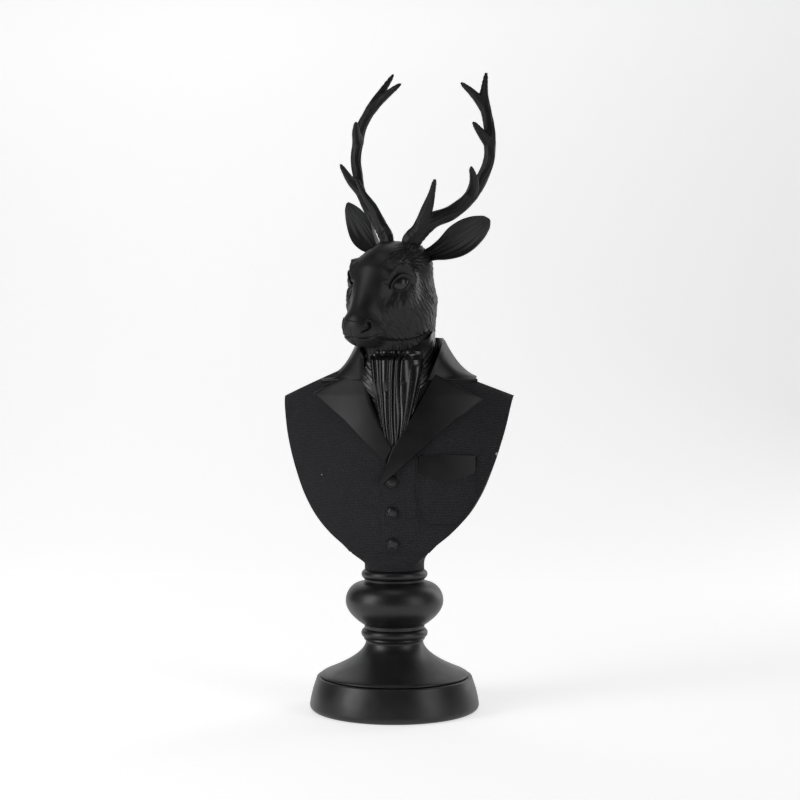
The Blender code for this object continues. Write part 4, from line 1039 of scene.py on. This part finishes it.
# Each ear as half-widths above and below its middle line, at shares of its length.
EAR_ROOT, EAR_FACING = Vector((0.22, -0.02, 0.665)), Vector((0.03, -0.99, 0.0))
EAR_TIPS = {-1: Vector((0.811, 0.212, 1.185)), 1: Vector((0.811, 0.212, 1.072))}
EAR_SHARES = (0.0, 0.15, 0.30, 0.52, 0.75, 0.90, 0.97, 1.0)
EAR_UPPERS = {-1: (0.060, 0.045, 0.065, 0.105, 0.080, 0.045, 0.022, 0.008),
              1: (0.060, 0.045, 0.065, 0.130, 0.132, 0.088, 0.048, 0.010)}
EAR_LOWER = (0.085, 0.088, 0.140, 0.180, 0.150, 0.095, 0.050, 0.010)
EAR_RIDGE = 0.0045
EAR_ROWS, EAR_COLUMNS = 60, 32
ears = []
for side, name in ((-1, "ear_right"), (1, "ear_left")):
    ear_tip = EAR_TIPS[side]
    axis = (ear_tip - EAR_ROOT).normalized()
    facing = (EAR_FACING - axis * EAR_FACING.dot(axis)).normalized()
    across = axis.cross(facing)
    rows = []
    for step in range(EAR_ROWS + 1):
        share = step / EAR_ROWS
        upper_wide = float(eased(share, EAR_SHARES, EAR_UPPERS[side]))
        lower_wide = float(eased(share, EAR_SHARES, EAR_LOWER))
        cup = 0.10 * (1 - share) ** 0.6 * math.sin(math.pi * min(share + 0.12, 1.0)) + 0.01
        middle = EAR_ROOT + (ear_tip - EAR_ROOT) * share + facing * (-0.03 * math.sin(math.pi * share))
        front, rear = [], []
        for i in range(EAR_COLUMNS + 1):
            u = 2 * i / EAR_COLUMNS - 1
            wide_now = upper_wide if u * across.z > 0 else lower_wide
            rim = middle + across * (u * wide_now) + facing * (cup * (u * u - 0.6))
            ridge = EAR_RIDGE * math.cos(19 * u + 2.5 * share) * (1 - u * u)
            ridge *= math.sin(math.pi * share) ** 0.5
            front.append(tuple(rim + facing * ridge))
            rear.append(tuple(rim - facing * (0.020 + 0.035 * (1 - u * u) * (1 - share))))
        rows.append(np.array(front + rear[::-1]) * np.array((side, 1, 1)))
    ear = skin_over(rows, name, satin_fur, sharp_degrees=80.0)
    ear.data.transform(head_place)
    ears.append(ear)
for part in [head] + eyes + ears:
    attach(part, "root")
    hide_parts("bust")

# The antlers.
# Two separate castings plugged into the crown, each a beam with a brow tine, two small tines and a fork.
# Their surface is long shallow grooves under satin paint, a little drier than the head.

dry_antler = finish("dry satin black resin antler", "#0f0f11", "#1c1c1f", 0.46, 0.27, 1.6, 0.50, 9.0)[0]
ANTLER_HEIGHT = 0.164
# The path of one antler from its root, as shares of its height: (outward, back, up, half its breadth).
BEAM = (
    (0.0, 0.0, 0.0, 0.052), (0.045, 0.010, 0.055, 0.042), (0.115, 0.030, 0.125, 0.041),
    (0.215, 0.095, 0.190, 0.037),
    (0.300, 0.125, 0.285, 0.031), (0.345, 0.145, 0.380, 0.029), (0.375, 0.155, 0.480, 0.026),
    (0.372, 0.158, 0.580, 0.026), (0.358, 0.160, 0.670, 0.026), (0.315, 0.178, 0.775, 0.024),
    (0.278, 0.205, 0.865, 0.020), (0.240, 0.275, 1.0, 0.008),
)
TINES = (
    (1, ((0.098, -0.020, 0.168, 0.030), (0.145, -0.060, 0.248, 0.018), (0.187, -0.100, 0.340, 0.009))),
    (4, ((0.345, 0.065, 0.350, 0.022), (0.363, -0.015, 0.425, 0.008))),
    (7, ((0.350, 0.100, 0.625, 0.019), (0.320, 0.045, 0.680, 0.008))),
    (9, ((0.225, 0.188, 0.862, 0.018), (0.128, 0.194, 0.932, 0.008))),
)
FLATTENED, FLAT_BELOW, ROUND_ABOVE = 0.62, 0.22, 0.50
ANTLER_BLEND, ANTLER_COARSE, ANTLER_FINE = 0.005, 0.010, 0.0062
GROOVES, GROOVE_DEPTH = 9, 0.0021
ANTLER_SEAT = (0.132, -0.046, 0.820)


def grooved(mesh, limbs):
    """Presses long wavering grooves into an antler, side by side round each limb, and pearls at its root."""
    points = points_of(mesh)
    nearest = np.argmin(np.array(distances(points, (), limbs)), axis=0)
    starts = np.array([limb[0] for limb in limbs])[nearest]
    runs = np.array([np.array(limb[1]) - np.array(limb[0]) for limb in limbs])
    runs = (runs / np.linalg.norm(runs, axis=1)[:, None])[nearest]
    offset = points - starts
    offset -= (offset * runs).sum(axis=1)[:, None] * runs
    first = np.cross(runs, np.array(limbs[0][4]))
    first /= np.linalg.norm(first, axis=1)[:, None] + 1e-9
    round_limb = np.arctan2((offset * first).sum(axis=1), (offset * np.cross(runs, first)).sum(axis=1))
    waver = 0.7 * np.sin(points @ np.array((31.0, 17.0, 26.0)))
    waver += 0.4 * np.sin(points @ np.array((-47.0, 61.0, 38.0)))
    wave = np.cos(GROOVES * round_limb + 1.6 * waver)
    pearls = np.sin(points[:, 0] * 150) * np.sin(points[:, 1] * 150) * np.sin(points[:, 2] * 130)
    root = ease_step((0.13 - points[:, 2]) / 0.10)
    slim = np.clip(np.linalg.norm(offset, axis=1) / 0.025, 0.0, 1.0)
    pressed = GROOVE_DEPTH * slim * (wave * (1 - 0.6 * root) + 0.9 * pearls * root)
    set_points(mesh, points + normals_of(mesh) * pressed[:, None])


antlers = []
for side, name in ((-1, "antler_right"), (1, "antler_left")):
    thin_way = (side * 0.537, -0.843, 0.0)
    limbs = []
    for path in [BEAM] + [(BEAM[start], *branch) for start, branch in TINES]:
        smooth = curved(path, 5 * (len(path) - 1)) * np.array((side, 1.0, 1.0, 1.0))
        for a, b in zip(smooth, smooth[1:]):
            rounding = float(ease_step((a[2] - FLAT_BELOW) / (ROUND_ABOVE - FLAT_BELOW)))
            flat = FLATTENED + (1 - FLATTENED) * rounding
            limbs.append((tuple(a[:3]), tuple(b[:3]), a[3], b[3], thin_way, flat))
    antler = sculpted(((), limbs, ANTLER_BLEND), ANTLER_COARSE, ANTLER_FINE, name + "_casting")
    grooved(antler.data, limbs)
    seat = Matrix.Translation((side * ANTLER_SEAT[0], *ANTLER_SEAT[1:]))
    antler.data.transform(head_place @ seat @ Matrix.Scale(ANTLER_HEIGHT / HEAD_UNIT, 4))
    dressed(antler, dry_antler, 180.0)
    antlers.append(antler)
    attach(antler, "root")
    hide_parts(name)

# The table, the light and the camera.
# A pale floor curving up behind, soft panels at both sides, a level view 10 degrees to the deer's left.

# Painted light: the paper glows by its own emission, brighter at the left than at the right, on top of the
# light it takes from the panels.
PAPER_GLOW_LEFT, PAPER_GLOW_RIGHT = 0.665, 0.505
PAPER_GLOW_FADE = 1.1
pale = bpy.data.materials.new("studio paper with painted glow")
pale.use_nodes = True
tree = pale.node_tree
paper = tree.nodes["Principled BSDF"]
paper.inputs["Base Color"].default_value = linear("#dadada")
paper.inputs["Roughness"].default_value = 0.95
paper.inputs["Specular IOR Level"].default_value = 0.0
# The painted glow, fading from the left to the right across the paper.
paper.inputs["Emission Strength"].default_value = 1.0
spot = put(tree, "ShaderNodeTexCoord").outputs["Object"]
across = put(tree, "ShaderNodeSeparateXYZ", {}, {0: spot}).outputs["X"]
glow = put(tree, "ShaderNodeMapRange",
           {"From Min": -PAPER_GLOW_FADE, "From Max": PAPER_GLOW_FADE, "To Min": PAPER_GLOW_LEFT, "To Max": PAPER_GLOW_RIGHT},
           {"Value": across}, interpolation_type="SMOOTHSTEP")
tree.links.new(glow.outputs["Result"], paper.inputs["Emission Color"])

# The sweep in outline, from the floor's front edge back and up the wall.
SWEEP_FRONT, SWEEP_BACK, SWEEP_TOP = -2.0, 2.2, 4.0
SWEEP_HALF_WIDTH, SWEEP_RADIUS = 3.0, 1.2
sweep_line = [(SWEEP_FRONT, 0.0), (SWEEP_BACK - SWEEP_RADIUS, 0.0)]
sweep_line += arc(SWEEP_BACK - SWEEP_RADIUS, SWEEP_RADIUS, SWEEP_RADIUS, SWEEP_RADIUS, -90, 0, 24)
sweep_line.append((SWEEP_BACK, SWEEP_TOP))
sweep = [(x, y, z) for y, z in sweep_line for x in (-SWEEP_HALF_WIDTH, SWEEP_HALF_WIDTH)]
sweep_faces = [(2 * i, 2 * i + 1, 2 * i + 3, 2 * i + 2) for i in range(len(sweep_line) - 1)]
floor = piece_from(sweep, sweep_faces, "floor", pale)

world = bpy.data.worlds.new("studio")
bpy.context.scene.world = world
world.use_nodes = True
fill = world.node_tree.nodes["Background"]
fill.inputs["Color"].default_value = (1.0, 1.0, 1.0, 1.0)
fill.inputs["Strength"].default_value = 0.07
bpy.context.scene.view_settings.view_transform = "Standard"

TURN = math.radians(10)
back = Vector((math.sin(TURN), -math.cos(TURN), 0.0))
right = Vector((math.cos(TURN), math.sin(TURN), 0.0))
TARGET = Vector((0.0, 0.0, 0.2915))
CAMERA_DISTANCE, CAMERA_ASIDE, LENS, SENSOR_WIDTH = 1.4, 0.0052, 66.465, 36.0


def panel(name, azimuth, distance, height, width, tall, power):
    """A soft light panel that faces the bust; azimuth 0 is in front, positive toward the deer's left."""
    angle = math.radians(azimuth)
    lamp = bpy.data.lights.new(name, "AREA")
    lamp.shape = "RECTANGLE"
    lamp.size = width
    lamp.size_y = tall
    lamp.energy = power
    spot = Vector((math.sin(angle) * distance, -math.cos(angle) * distance, height))
    aimed = (TARGET - spot).to_track_quat("-Z", "Y").to_matrix().to_4x4()
    placed(name, lamp).matrix_world = Matrix.Translation(spot) @ aimed


panel("left panel", -52, 1.6, 0.75, 0.75, 1.2, 13.0)
panel("right panel", 62, 1.7, 0.70, 0.60, 1.2, 7.0)
panel("right rear panel", 140, 1.5, 0.8, 0.5, 1.4, 4.0)
panel("overhead panel", 0, 0.4, 2.2, 1.0, 0.8, 4.0)

camera = placed("camera", bpy.data.cameras.new("camera"))
camera.data.sensor_width = SENSOR_WIDTH
camera.data.lens = LENS
eye_point = TARGET + right * CAMERA_ASIDE + back * CAMERA_DISTANCE
camera.matrix_world = Matrix.Translation(eye_point) @ (-back).to_track_quat("-Z", "Y").to_matrix().to_4x4()
bpy.context.scene.camera = camera
